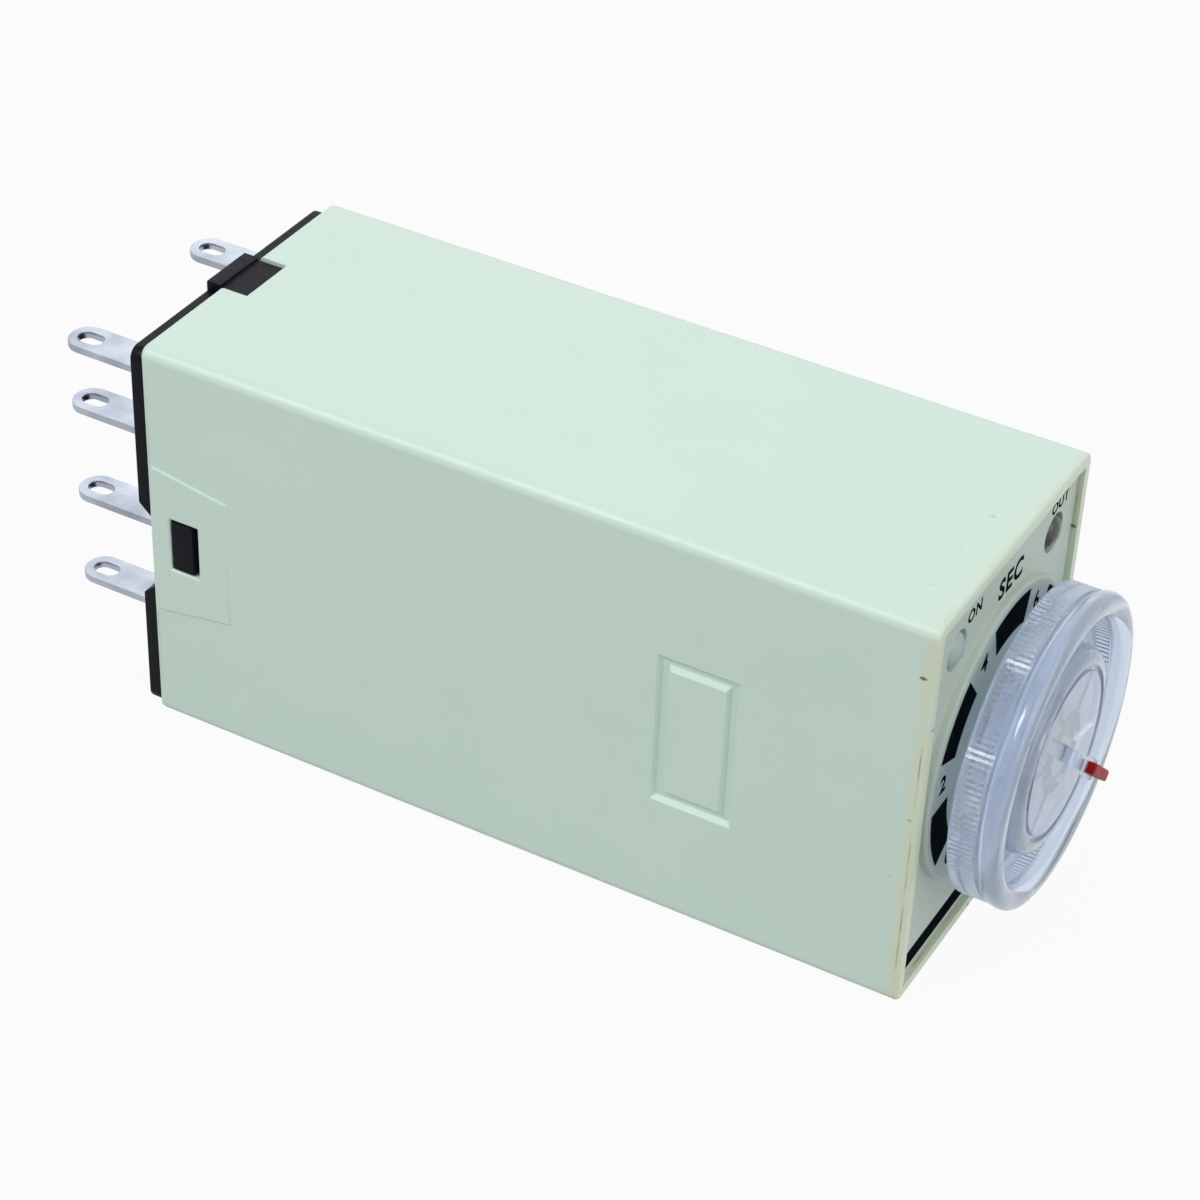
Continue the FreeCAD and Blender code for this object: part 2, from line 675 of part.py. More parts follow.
def make_base():
    body = new_body("base")
    side = "(housing_width / 2 - flange_inset)"
    sketch = sketch_on(body, "YZ_Plane")
    rectangle(sketch, (f"-{side}", side), ("flange_lift", "housing_height - flange_drop"))
    flange = pad(body, sketch, "flange_thickness", backwards=True)
    round_edges(body, flange, "flange_radius", runs_along(ALONG_X))

    sketch = sketch_on(body, "YZ_Plane")
    rectangle(sketch, (f"-{SPIGOT_SIDE}", SPIGOT_SIDE), (SPIGOT_FLOOR, SPIGOT_TOP))
    pad(body, sketch, "spigot_length")

    sketch = sketch_on(body, "YZ_Plane", "spigot_length")
    hollow = f"({SPIGOT_SIDE} - spigot_wall)"
    height = (f"{SPIGOT_FLOOR} + spigot_wall", f"{SPIGOT_TOP} - spigot_wall")
    rectangle(sketch, (f"-{hollow}", hollow), height)
    pocket(body, sketch, "spigot_length - base_plate")

    # Two rails and a cross bar carry the relay
    sketch = sketch_on(body, "YZ_Plane", "base_plate / 2")
    rectangle(sketch, (f"-{RAIL_SIDE}", f"-{RAIL_SIDE} + rail_width"), (SPIGOT_FLOOR, RAIL_TOP))
    rectangle(sketch, (f"{RAIL_SIDE} - rail_width", RAIL_SIDE), (SPIGOT_FLOOR, RAIL_TOP))
    pad(body, sketch, f"{RAIL_FRONT} - base_plate / 2")
    sketch = sketch_on(body, "YZ_Plane", f"{BOBBIN_FRONT} - rail_end")
    rectangle(sketch, (f"-{RAIL_SIDE}", RAIL_SIDE), (SPIGOT_FLOOR, f"{SPIGOT_FLOOR} + cross_bar_height"))
    pad(body, sketch, f"{RAIL_FRONT} - {BOBBIN_FRONT} + rail_end")
    sketch = sketch_on(body, "XZ_Plane", "housing_width / 2")
    slot = (f"{BOBBIN_FRONT} - seat_gap", f"{YOKE_BACK} + seat_gap")
    rectangle(sketch, slot, (YOKE_FOOT, f"{RAIL_TOP} + rail_height"))
    pocket(body, sketch, "housing_width")

    # Collars round the blades, latch lugs, and a notch in each side of the flange
    sketch = sketch_on(body, "YZ_Plane", "-flange_thickness")
    reach = "(blade_width / 2 + collar_margin)"
    span = (f"-{COLUMN} - {reach}", f"-{COLUMN} + {reach}")
    lift = "(blade_thickness / 2 + collar_lift)"
    for row in (CLOSED_ROW, OPEN_ROW, COMMON_ROW, "coil_row"):
        rectangle(sketch, span, (f"{row} - {lift}", f"{row} + {lift}"))
    collars = pad(body, sketch, "collar_rise", backwards=True)

    sketch = sketch_on(body, "XY_Plane", f"{MIDDLE} - lug_height / 2")
    root = f"-{SPIGOT_SIDE} + spigot_wall / 2"
    crest = f"-{SPIGOT_SIDE} - lug_reach"
    back = "window_inset + lug_gap"
    front = "window_inset + window_length - lug_gap"
    outline(sketch, [(back, root), (front, root), (f"{back} + lug_land", crest), (back, crest)])
    lugs = pad(body, sketch, "lug_height")

    sketch = sketch_on(body, "XZ_Plane", side)
    narrow = "(notch_height / 2)"
    wide = "(notch_height / 2 + notch_slant)"
    outline(
        sketch,
        [
            ("0", f"{COMMON_ROW} - {narrow}"),
            ("0", f"{COMMON_ROW} + {narrow}"),
            ("-flange_thickness", f"{COMMON_ROW} + {wide}"),
            ("-flange_thickness", f"{COMMON_ROW} - {wide}"),
        ],
    )
    notches = pocket(body, sketch, "notch_depth")
    mirror(body, [collars, lugs, notches])

    # The key tab fills the housing's notch and steps up behind it
    tab = "(key_width / 2 - slide_gap)"
    depth = "(housing_wall + slide_gap + spigot_wall / 2)"
    sketch = sketch_on(body, "XY_Plane", "housing_height")
    rectangle(sketch, ("-flange_thickness - key_rise", "0"), (f"-{tab}", tab))
    pad(body, sketch, depth, backwards=True)
    sketch = sketch_on(body, "XY_Plane", "housing_height - key_step")
    rectangle(sketch, ("0", "key_length - slide_gap"), (f"-{tab}", tab))
    pad(body, sketch, f"{depth} - key_step", backwards=True)

    sketch = sketch_on(body, "YZ_Plane", "spigot_length")
    for row in (CLOSED_ROW, OPEN_ROW, COMMON_ROW, "coil_row"):
        for column in (f"-{COLUMN}", COLUMN):
            across = (f"{column} - blade_width / 2", f"{column} + blade_width / 2")
            rectangle(sketch, across, (f"{row} - blade_thickness / 2", f"{row} + blade_thickness / 2"))
    pocket(body, sketch, f"spigot_length - {COLLAR_FACE}")


def make_blade(label, row, column, inner_end):
    body = new_body(label)
    sketch = sketch_on(body, "XY_Plane", f"{row} - blade_thickness / 2")
    across = (f"{column} - blade_width / 2", f"{column} + blade_width / 2")
    rectangle(sketch, (BLADE_TIP, inner_end), across)
    strip = pad(body, sketch, "blade_thickness")

    def tip_edge(edge):
        return lies_at(BLADE_TIP)(edge) and runs_along(ALONG_Z)(edge)

    round_edges(body, strip, "(blade_width - tip_flat) / 2", tip_edge)
    sketch = sketch_on(body, "XY_Plane", f"{row} + blade_thickness / 2")
    hole = f"({BLADE_TIP} + blade_hole_offset)"
    along = (f"{hole} - blade_hole_length / 2", f"{hole} + blade_hole_length / 2")
    rectangle(sketch, along, (f"{column} - blade_hole_width / 2", f"{column} + blade_hole_width / 2"))
    slot = pocket(body, sketch, "blade_thickness")

    def hole_edge(edge):
        near = abs(edge.Vertexes[0].Point.x - value(hole)) < value("blade_hole_length") / 2 + TOUCH
        inside = abs(edge.Vertexes[0].Point.y - value(column)) < value("blade_hole_width") / 2 + TOUCH
        return near and inside and runs_along(ALONG_Z)(edge)

    round_edges(body, slot, "(blade_hole_width - tip_flat) / 2", hole_edge)


def make_blades():
    for side, column in (("left", COLUMN), ("right", f"-{COLUMN}")):
        make_blade(f"closed_terminal_{side}", CLOSED_ROW, column, "contact_blade_end")
        make_blade(f"open_terminal_{side}", OPEN_ROW, column, "contact_blade_end")
        make_blade(f"common_terminal_{side}", COMMON_ROW, column, "plain_blade_end")
        make_blade(f"coil_terminal_{side}", "coil_row", column, "plain_blade_end")


def make_contacts():
    """Silver discs on the fixed blades, and on both faces of the moving springs."""
    fixed = []
    moving = []
    for column in (COLUMN, f"-{COLUMN}"):
        under_closed = f"{CLOSED_ROW} - blade_thickness / 2 - contact_rise"
        for height in (under_closed, f"{OPEN_ROW} + blade_thickness / 2"):
            fixed.append(prism(ALONG_Z, "contact_radius", "contact_rise", "contact_place", column, height))
        for height in (SPRING_TOP, f"{SPRING_BOTTOM} - moving_rise"):
            moving.append(prism(ALONG_Z, "moving_radius", "moving_rise", "contact_place", column, height))
    node("fixed_contacts", group(*fixed))
    node("moving_contacts", group(*moving))


def make_moving_springs():
    for side, column in (("left", COLUMN), ("right", f"-{COLUMN}")):
        across = (f"{column} - blade_width / 2", f"{column} + blade_width / 2")
        along = ("contact_place - spring_overhang", f"{CARRIER_BACK} + spring_grip")
        node(f"moving_spring_{side}", block(along, across, (SPRING_BOTTOM, SPRING_TOP)))


def make_armature():
    body = new_body("armature")
    wide = ARMATURE_SIDE
    narrow = "tail_width / 2"
    shoulder = f"{HINGE_HEIGHT} - armature_thickness"
    tail_top = f"{YOKE_TOP} + tail_height - armature_thickness"
    sketch = sketch_on(body, "YZ_Plane", "armature_place")
    points = [(wide, "armature_bottom"), (wide, shoulder), (narrow, shoulder), (narrow, tail_top)]
    outline(sketch, points + [(f"-({u})", v) for u, v in reversed(points)])
    pad(body, sketch, "armature_thickness")


def make_carrier():
    body = new_body("contact_carrier")
    sketch = sketch_on(body, "XZ_Plane", CARRIER_SIDE)
    top = CARRIER_TOP
    outline(
        sketch,
        [
            (CARRIER_BACK, CARRIER_BOTTOM),
            (CARRIER_FRONT, CARRIER_BOTTOM),
            (CARRIER_FRONT, f"{top} - carrier_chamfer"),
            (f"{CARRIER_FRONT} - carrier_chamfer", top),
            (f"{CARRIER_BACK} + carrier_chamfer", top),
            (CARRIER_BACK, f"{top} - carrier_chamfer"),
        ],
    )
    pad(body, sketch, f"2 * {CARRIER_SIDE}", backwards=True)
    # The armature's tail and the hinge spring's tab stand in a slot from below
    sketch = sketch_on(body, "XY_Plane", CARRIER_BOTTOM)
    slot = ("armature_place", HINGE_PLACE)
    rectangle(sketch, slot, ("-tail_width / 2", "tail_width / 2"))
    pocket(body, sketch, f"{YOKE_TOP} + tail_height - armature_thickness - {CARRIER_BOTTOM}", backwards=True)
    sketch = sketch_on(body, "XY_Plane", CARRIER_BOTTOM)
    tab = (HINGE_PLACE, f"{HINGE_PLACE} + hinge_spring_thickness")
    rectangle(sketch, tab, ("-hinge_spring_width / 2", "hinge_spring_width / 2"))
    pocket(body, sketch, f"{YOKE_TOP} + hinge_spring_tab - {CARRIER_BOTTOM}", backwards=True)
    sketch = sketch_on(body, "YZ_Plane", CARRIER_BACK)
    for column in (COLUMN, f"-{COLUMN}"):
        across = (f"{column} - blade_width / 2", f"{column} + blade_width / 2")
        rectangle(sketch, across, (SPRING_BOTTOM, SPRING_TOP))
    pocket(body, sketch, "spring_grip", backwards=True)


def make_hinge_spring():
    body = new_body("hinge_spring")
    top = f"({YOKE_TOP} + hinge_spring_thickness)"
    bend = f"({HINGE_PLACE} + hinge_spring_thickness)"
    end = f"({HINGE_PLACE} + hinge_spring_length)"
    tab_top = f"{YOKE_TOP} + hinge_spring_tab"
    sketch = sketch_on(body, "XZ_Plane", "hinge_spring_width / 2")
    foot = [(HINGE_PLACE, YOKE_TOP), (end, YOKE_TOP), (end, top)]
    outline(sketch, foot + [(bend, top), (bend, tab_top), (HINGE_PLACE, tab_top)])
    pad(body, sketch, "hinge_spring_width", backwards=True)


def make_yoke():
    body = new_body("yoke")
    sketch = sketch_on(body, "XZ_Plane", YOKE_SIDE)
    lower = [(YOKE_START, HINGE_HEIGHT), (BOBBIN_FRONT, HINGE_HEIGHT), (BOBBIN_FRONT, YOKE_FOOT)]
    upper = [(YOKE_BACK, YOKE_FOOT), (YOKE_BACK, YOKE_TOP), (YOKE_START, YOKE_TOP)]
    outline(sketch, lower + upper)
    bracket = pad(body, sketch, f"2 * {YOKE_SIDE}", backwards=True)

    def outer_bend(edge):
        middle = edge.CenterOfMass
        at_corner = meets(middle.x, YOKE_BACK) and meets(middle.z, YOKE_TOP)
        return at_corner and runs_along(ALONG_Y)(edge)

    round_edges(body, bracket, "yoke_bend", outer_bend)
    sketch = sketch_on(body, "YZ_Plane", BOBBIN_FRONT)
    rectangle(sketch, (f"-{FOOT_SIDE}", FOOT_SIDE), (YOKE_FOOT, RAIL_TOP))
    pad(body, sketch, "yoke_thickness")
    sketch = sketch_on(body, "YZ_Plane", YOKE_BACK)
    circle(sketch, "0", COIL_HEIGHT, STUB_RADIUS)
    pocket(body, sketch, "yoke_thickness")


def make_coil():
    def turned(radius, start, end):
        length = f"{end} - {start}"
        return prism(ALONG_X, radius, length, start, "0", COIL_HEIGHT, "round_sides")

    pole = turned(POLE_RADIUS, POLE_FACE, BOBBIN_BACK)
    shaft = turned(CORE_RADIUS, BOBBIN_BACK, BOBBIN_FRONT)
    stub = turned(STUB_RADIUS, BOBBIN_FRONT, f"({YOKE_BACK} + stub_peen)")
    node("core", fuse(pole, shaft, stub))

    tube_radius = f"({CORE_RADIUS} + bobbin_tube)"
    lip = f"({COIL_RADIUS} + flange_lip)"
    rear = f"({BOBBIN_BACK} + bobbin_flange)"
    front = f"({BOBBIN_FRONT} - terminal_flange)"
    sleeve = turned(tube_radius, BOBBIN_BACK, BOBBIN_FRONT)
    rear_flange = turned(lip, BOBBIN_BACK, rear)
    front_flange = turned(lip, front, BOBBIN_FRONT)
    ear_top = f"({COIL_HEIGHT} + {lip})"
    ear_span = (f"{ear_top} - ear_height", ear_top)
    ears = block((front, BOBBIN_FRONT), (f"-{TERMINAL_EAR}", TERMINAL_EAR), ear_span)
    bore = turned(CORE_RADIUS, BOBBIN_BACK, BOBBIN_FRONT)
    node("bobbin", cut(fuse(sleeve, rear_flange, front_flange, ears), bore))

    wound = turned(COIL_RADIUS, rear, front)
    hollow = turned(tube_radius, rear, front)
    node("coil_winding", cut(wound, hollow))

    pins = []
    middle = f"({BOBBIN_FRONT} - terminal_flange / 2)"
    for column in (PIN_COLUMN, f"-{PIN_COLUMN}"):
        along = (f"{middle} - pin_size / 2", f"{middle} + pin_size / 2")
        across = (f"{column} - pin_size / 2", f"{column} + pin_size / 2")
        pins.append(block(along, across, (ear_top, BOARD_UNDER)))
    node("coil_pins", group(*pins))


def make_wiring():
    """Flat braids to the moving springs, and square wires from the coil blades to the timer board."""
    leads = []
    wires = []
    for side in (1, -1):
        column = f"({side} * {COLUMN})"
        along_column = (f"{column} - lead_half", f"{column} + lead_half")
        rise = ("lead_rise_place - lead_half", "lead_rise_place + lead_half")
        low = f"({COMMON_ROW} + blade_thickness / 2)"
        lying = block(("base_plate", rise[1]), along_column, (low, f"{low} + 2 * lead_half"))
        standing = block(rise, along_column, (low, SPRING_BOTTOM))
        leads.append(fuse(lying, standing))

        wall = f"({side} * ({INNER_SIDE} - wire_wall_gap - wire_half))"
        solder = f"({side} * ({INNER_SIDE} - wire_inset))"
        turn = "(plain_blade_end + wire_tail)"
        end = "(board_start + wire_run)"
        floor = "(coil_row + blade_thickness / 2 + wire_half)"
        roof = f"({BOARD_UNDER} - wire_drop)"
        corners = [
            ("base_plate + wire_half", column, floor),
            (turn, column, floor),
            (turn, wall, floor),
            (turn, wall, roof),
            (end, wall, roof),
            (end, solder, roof),
            (end, solder, f"{BOARD_UNDER} - wire_half"),
        ]
        wires.append(square_wire(corners, "wire_half"))
    node("common_leads", group(*leads))
    node("supply_wires", group(*wires))


def make_boards():
    edge = f"({INNER_SIDE} - slide_gap)"
    node("timer_board", block(("board_start", BOARD_FRONT), (f"-{edge}", edge), (BOARD_UNDER, BOARD_TOP)))
    height = ("housing_wall + front_board_margin", f"{INNER_TOP} - slide_gap")
    node("front_board", block((BOARD_BACK, BOARD_FACE), (f"-{edge}", edge), height))

    pins = []
    for step in (-1.5, -0.5, 0.5, 1.5):
        across = (f"{step} * pin_pitch - pin_size / 2", f"{step} * pin_pitch + pin_size / 2")
        bend = f"({BOARD_BACK} - pin_setback)"
        low = f"({BOARD_UNDER} - pin_drop)"
        lying = block((bend, BOARD_BACK), across, (low, f"{low} + pin_size"))
        standing = block((bend, f"{bend} + pin_size"), across, (low, BOARD_UNDER))
        pins.append(fuse(lying, standing))
    node("link_pins", group(*pins))


def axial_part(radius, length, x, y, along):
    """A small body lying under the timer board on two bent legs, along X or Y."""
    height = f"({BOARD_UNDER} - lead_height / 2 - {radius})"
    place = {"x": x, "y": y}
    thick = {axis: (f"{text} - leg_half", f"{text} + leg_half") for axis, text in place.items()}
    start = {**place, along: f"{place[along]} - {length} / 2"}
    axis = ALONG_X if along == "x" else ALONG_Y
    body = prism(axis, radius, length, start["x"], start["y"], height)
    reach = f"({length} / 2 + leg_reach)"
    low = f"{height} - leg_half"
    span = {**thick, along: (f"{place[along]} - {reach}", f"{place[along]} + {reach}")}
    wire = block(span["x"], span["y"], (low, f"{height} + leg_half"))
    legs = []
    for end in (f"{place[along]} - {reach}", f"{place[along]} + {reach} - 2 * leg_half"):
        foot = {**thick, along: (end, f"{end} + 2 * leg_half")}
        legs.append(block(foot["x"], foot["y"], (low, BOARD_UNDER)))
    return fuse(body, wire, *legs)


def make_board_parts():
    diodes = []
    for step in range(4):
        place = f"diode_place + {step} * diode_pitch"
        diodes.append(axial_part("diode_radius", "diode_length", place, "-diode_offset", "y"))
    node("rectifier_diodes", group(*diodes))
    resistors = []
    for step in range(2):
        offset = f"{RESISTOR_OFFSET} + {step} * resistor_pitch"
        resistors.append(axial_part("resistor_radius", "resistor_length", "resistor_place", offset, "x"))
    node("resistors", group(*resistors))

    height = f"({CAPACITOR_BOTTOM} + capacitor_radius)"
    axis = f"-{CAPACITOR_OFFSET}"
    can = rod(ALONG_X, "capacitor_radius", "capacitor_length", "capacitor_place", axis, height)
    end = "(capacitor_place + capacitor_length)"
    tip = f"{end} + leg_reach"
    low = f"{height} - leg_half"
    legs = []
    for sign in ("-", "+"):
        offset = f"{axis} {sign} capacitor_radius / 2"
        across = (f"{offset} - leg_half", f"{offset} + leg_half")
        legs.append(block((end, tip), across, (low, f"{height} + leg_half")))
        legs.append(block((f"{tip} - 2 * leg_half", tip), across, (low, BOARD_UNDER)))
    node("filter_capacitor", fuse(can, *legs))

    along = ("film_place", "film_place + film_length")
    across = ("film_offset", "film_offset + film_width")
    node("timing_capacitor", block(along, across, (f"{BOARD_UNDER} - film_height", BOARD_UNDER)))

    along = ("chip_place", "chip_place + chip_length")
    across = ("chip_offset - chip_width / 2", "chip_offset + chip_width / 2")
    top = f"({BOARD_UNDER} - seat_gap)"
    chip = [block(along, across, (f"{top} - chip_height", top))]
    for step in range(-3, 4):
        middle = f"chip_place + chip_length / 2 + {step} * chip_lead_pitch"
        width = (f"{middle} - chip_lead_width / 2", f"{middle} + chip_lead_width / 2")
        reach = "(chip_width / 2 + chip_lead_reach)"
        span = (f"chip_offset - {reach}", f"chip_offset + {reach}")
        chip.append(block(width, span, (f"{top} - chip_height / 2", BOARD_UNDER)))
    node("timer_chip", fuse(*chip))

    body_top = f"({BOARD_UNDER} - lead_height)"
    bottom = f"({body_top} - transistor_height)"
    barrel = rod(
        ALONG_Z, "transistor_radius", "transistor_height", "transistor_place", "transistor_offset", bottom
    )
    flat = block(
        ("transistor_place - 2 * transistor_radius", "transistor_place - transistor_radius / 2"),
        ("transistor_offset - 2 * transistor_radius", "transistor_offset + 2 * transistor_radius"),
        (bottom, body_top),
    )
    legs = []
    for step in (-1, 0, 1):
        offset = f"transistor_offset + {step} * chip_lead_pitch"
        across = (f"{offset} - leg_half", f"{offset} + leg_half")
        along = ("transistor_place - leg_half", "transistor_place + leg_half")
        legs.append(block(along, across, (body_top, BOARD_UNDER)))
    node("driver_transistor", fuse(cut(barrel, flat), *legs))


def make_front_plate():
    body = new_body("front_plate")
    edge = "(housing_width / 2 - rim_width - plate_gap)"
    sketch = sketch_on(body, "YZ_Plane", PLATE_BACK)
    rectangle(
        sketch, (f"-{edge}", edge), ("rim_width + plate_gap", "housing_height - rim_width - plate_gap")
    )
    pad(body, sketch, "plate_thickness")
    sketch = sketch_on(body, "YZ_Plane", PLATE_FACE)
    circle(sketch, "0", DIAL_HEIGHT, TABLE_RADIUS)
    table = pad(body, sketch, "table_rise")
    bevel_edges(body, table, "table_edge", ring_at(TABLE_FACE, TABLE_RADIUS))
    sketch = sketch_on(body, "YZ_Plane", TABLE_FACE)
    circle(sketch, "0", DIAL_HEIGHT, "bush_radius + plate_gap")
    for column in (LAMP_COLUMN, f"-{LAMP_COLUMN}"):
        circle(sketch, column, LAMP_HEIGHT, "lamp_radius + lamp_gap")
    pocket(body, sketch, "table_rise + plate_thickness")


def make_lamps():
    for label, column in (("power_led", f"-{LAMP_COLUMN}"), ("output_led", LAMP_COLUMN)):
        body = new_body(label, LAMP_HEIGHT)
        bind(body, "Placement.Base.y", column)
        back = f"({BOARD_FACE} + lamp_standoff)"
        tip = f"({PLATE_FACE} + lamp_rise)"
        turn_profile(
            body,
            "Revolution",
            [
                (back, "0"),
                (back, "lamp_radius"),
                (f"{tip} - lamp_dome", "lamp_radius"),
                (f"{tip} - lamp_crown", "lamp_radius - lamp_crown"),
                (tip, "lamp_radius - lamp_dome"),
                (tip, "0"),
            ],
        )
        sketch = sketch_on(body, "YZ_Plane", BOARD_FACE)
        for leg in ("(lamp_leg_pitch / 2)", "(-lamp_leg_pitch / 2)"):
            rectangle(sketch, (f"{leg} - leg_half", f"{leg} + leg_half"), ("-leg_half", "leg_half"))
        pad(body, sketch, "lamp_standoff + leg_half")


def make_potentiometer():
    case = new_body("pot_case", DIAL_HEIGHT)
    inside = "(pot_radius - pot_wall)"
    bore = "(shaft_radius + running_gap)"
    roof = f"({POT_FRONT} - pot_front)"
    turn_profile(
        case,
        "Revolution",
        [
            (BOARD_FACE, inside),
            (BOARD_FACE, "pot_radius"),
            (POT_FRONT, "pot_radius"),
            (POT_FRONT, "bush_radius"),
            (BUSH_END, "bush_radius"),
            (BUSH_END, bore),
            (roof, bore),
            (roof, inside),
        ],
    )

    edge = f"({inside} - seat_gap)"
    wafer = prism(ALONG_X, edge, "wafer_thickness", BOARD_FACE, "0", DIAL_HEIGHT, "round_sides")
    node("pot_wafer", wafer)

    rotor = new_body("pot_rotor", DIAL_HEIGHT, "pointer_angle")
    disc = [(ROTOR_BACK, "0"), (ROTOR_BACK, "rotor_radius"), (ROTOR_FRONT, "rotor_radius")]
    shaft = [(ROTOR_FRONT, "shaft_radius"), (SHAFT_END, "shaft_radius"), (SHAFT_END, "0")]
    turn_profile(rotor, "Revolution", disc + shaft)
    sketch = sketch_on(rotor, "YZ_Plane", SHAFT_END)
    rectangle(sketch, ("-shaft_radius", "shaft_radius"), ("shaft_flat", "2 * shaft_radius"))
    pocket(rotor, sketch, f"{SHAFT_END} - {BOSS_BACK} + boss_gap / 2")

    wiper = new_body("pot_wiper", DIAL_HEIGHT, "pointer_angle")
    sketch = sketch_on(wiper, "YZ_Plane", f"{WAFER_FACE} + seat_gap")
    rectangle(sketch, ("shaft_radius", "rotor_radius - pot_wall"), ("-wiper_width / 2", "wiper_width / 2"))
    pad(wiper, sketch, f"{ROTOR_BACK} - {WAFER_FACE} - seat_gap")


def make_dial():
    body = new_body("dial", DIAL_HEIGHT, "pointer_angle")
    neck = f"({DIAL_RADIUS} - dial_bead_step)"
    turn_profile(
        body,
        "Revolution",
        [
            (BOSS_BACK, "shaft_radius"),
            (BOSS_BACK, "boss_radius"),
            (HUB_INSIDE, "boss_radius"),
            (HUB_INSIDE, "hub_radius - hub_wall"),
            (FLOOR_BACK, "hub_radius - hub_wall"),
            (FLOOR_BACK, DIAL_INSIDE),
            (DIAL_BACK, DIAL_INSIDE),
            (DIAL_BACK, neck),
            (BEAD_BACK, neck),
            (BEAD_BACK, DIAL_RADIUS),
            (f"{DIAL_FRONT} - dial_front_bevel", DIAL_RADIUS),
            (DIAL_FRONT, f"{DIAL_RADIUS} - dial_front_bevel"),
            (DIAL_FRONT, DIAL_INSIDE),
            (FLOOR_FRONT, DIAL_INSIDE),
            (FLOOR_FRONT, "hub_radius"),
            (f"{HUB_FACE} - hub_edge", "hub_radius"),
            (HUB_FACE, "hub_radius - hub_edge"),
            (HUB_FACE, "0"),
            (BORE_END, "0"),
            (BORE_END, "shaft_radius"),
        ],
    )
    groove_back = f"{HUB_FACE} - hub_groove_depth"
    groove_edge = "hub_groove_radius + hub_groove_width"
    groove = [(groove_back, "hub_groove_radius"), (groove_back, groove_edge)]
    turn_profile(body, "Groove", groove + [(HUB_FACE, groove_edge), (HUB_FACE, "hub_groove_radius")])

    # The bore's flat side drives the shaft
    sketch = sketch_on(body, "YZ_Plane", BOSS_BACK)
    rectangle(sketch, ("-shaft_radius", "shaft_radius"), ("shaft_flat", "(shaft_radius + boss_radius) / 2"))
    pad(body, sketch, "shaft_engagement")

    # A slot for a screwdriver across the hub
    sketch = sketch_on(body, "YZ_Plane", HUB_FACE)
    rectangle(sketch, ("-slot_length / 2", "slot_length / 2"), ("-slot_width / 2", "slot_width / 2"))
    pocket(body, sketch, "slot_depth")

    # A web across the well carries the pointer, which is let into the rim
    sketch = sketch_on(body, "XY_Plane", "-web_width / 2")
    across = ("hub_radius - hub_wall / 2", f"{DIAL_INSIDE} + dial_rim / 2")
    rectangle(sketch, (f"{FLOOR_BACK} + dial_floor / 2", POINTER_BACK), across)
    pad(body, sketch, "web_width")
    sketch = sketch_on(body, "XY_Plane", "pointer_width / 2")
    rectangle(sketch, (POINTER_BACK, POINTER_FRONT), ("pointer_start", f"{DIAL_RADIUS} + pointer_width"))
    pocket(body, sketch, "pointer_width")

    sketch = sketch_on(body, "YZ_Plane", DIAL_BACK)
    valley = f"{neck} - knurl_depth"
    crest = f"{neck} + knurl_depth"
    outline(sketch, [("-knurl_width / 2", crest), ("0", valley), ("knurl_width / 2", crest)])
    tooth = pocket(body, sketch, f"{BEAD_BACK} - {DIAL_BACK}", backwards=True)
    knurl = body.newObject("PartDesign::PolarPattern", "Knurl")
    knurl.Originals = [tooth]
    knurl.Axis = (origin_part(body, "X_Axis"), [""])
    knurl.Angle = 360
    bind(knurl, "Occurrences", "knurl_count")
    body.Tip = knurl


def make_pointer():
    body = new_body("pointer", DIAL_HEIGHT, "pointer_angle")
    sketch = sketch_on(body, "XY_Plane", "-pointer_width / 2")
    rectangle(sketch, (POINTER_BACK, POINTER_FRONT), ("pointer_start", DIAL_RADIUS))
    pad(body, sketch, "pointer_width")


def check_all():
    for item in doc.Objects:
        if "Invalid" in item.State or "Error" in item.State:
            raise RuntimeError(f"{item.Label} failed: {item.State}")
    for piece in nodes:
        if piece.Shape.isNull() or not piece.Shape.isValid() or not piece.Shape.Solids:
            raise RuntimeError(f"{piece.Label} has no valid solid")


def write_parts():
    os.makedirs("parts", exist_ok=True)
    for piece in nodes:
        piece.Shape.exportStep(f"parts/{piece.Label}.step")


fill_sheet()
make_housing()
make_base()
make_blades()
make_contacts()
make_moving_springs()
make_armature()
make_carrier()
make_hinge_spring()
make_yoke()
make_coil()
make_wiring()
make_boards()
make_board_parts()
make_front_plate()
make_lamps()
make_potentiometer()
make_dial()
make_pointer()
doc.recompute()
check_all()
write_parts()
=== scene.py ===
import math

import bmesh
import bpy
from mathutils import Matrix, Vector


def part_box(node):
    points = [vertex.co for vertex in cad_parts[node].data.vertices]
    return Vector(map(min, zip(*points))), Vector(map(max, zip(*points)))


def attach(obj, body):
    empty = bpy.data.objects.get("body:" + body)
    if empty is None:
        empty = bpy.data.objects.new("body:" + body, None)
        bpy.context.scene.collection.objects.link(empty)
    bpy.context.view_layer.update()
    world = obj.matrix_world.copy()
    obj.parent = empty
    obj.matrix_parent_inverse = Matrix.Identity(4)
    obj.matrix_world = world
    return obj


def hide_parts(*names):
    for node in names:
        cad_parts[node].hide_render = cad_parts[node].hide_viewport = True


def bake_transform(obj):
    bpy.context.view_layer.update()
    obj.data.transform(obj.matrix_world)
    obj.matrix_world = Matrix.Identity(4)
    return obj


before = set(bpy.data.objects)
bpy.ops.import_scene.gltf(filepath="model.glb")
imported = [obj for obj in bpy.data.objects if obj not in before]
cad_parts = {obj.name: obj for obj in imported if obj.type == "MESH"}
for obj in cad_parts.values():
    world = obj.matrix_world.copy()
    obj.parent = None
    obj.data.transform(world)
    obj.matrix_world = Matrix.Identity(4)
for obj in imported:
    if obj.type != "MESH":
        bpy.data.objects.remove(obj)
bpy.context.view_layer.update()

MM = 0.001

# Sizes are in millimetres. Along X they are counted from the housing's rear edge, and Z from its bottom.
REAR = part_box("housing")[0][0]

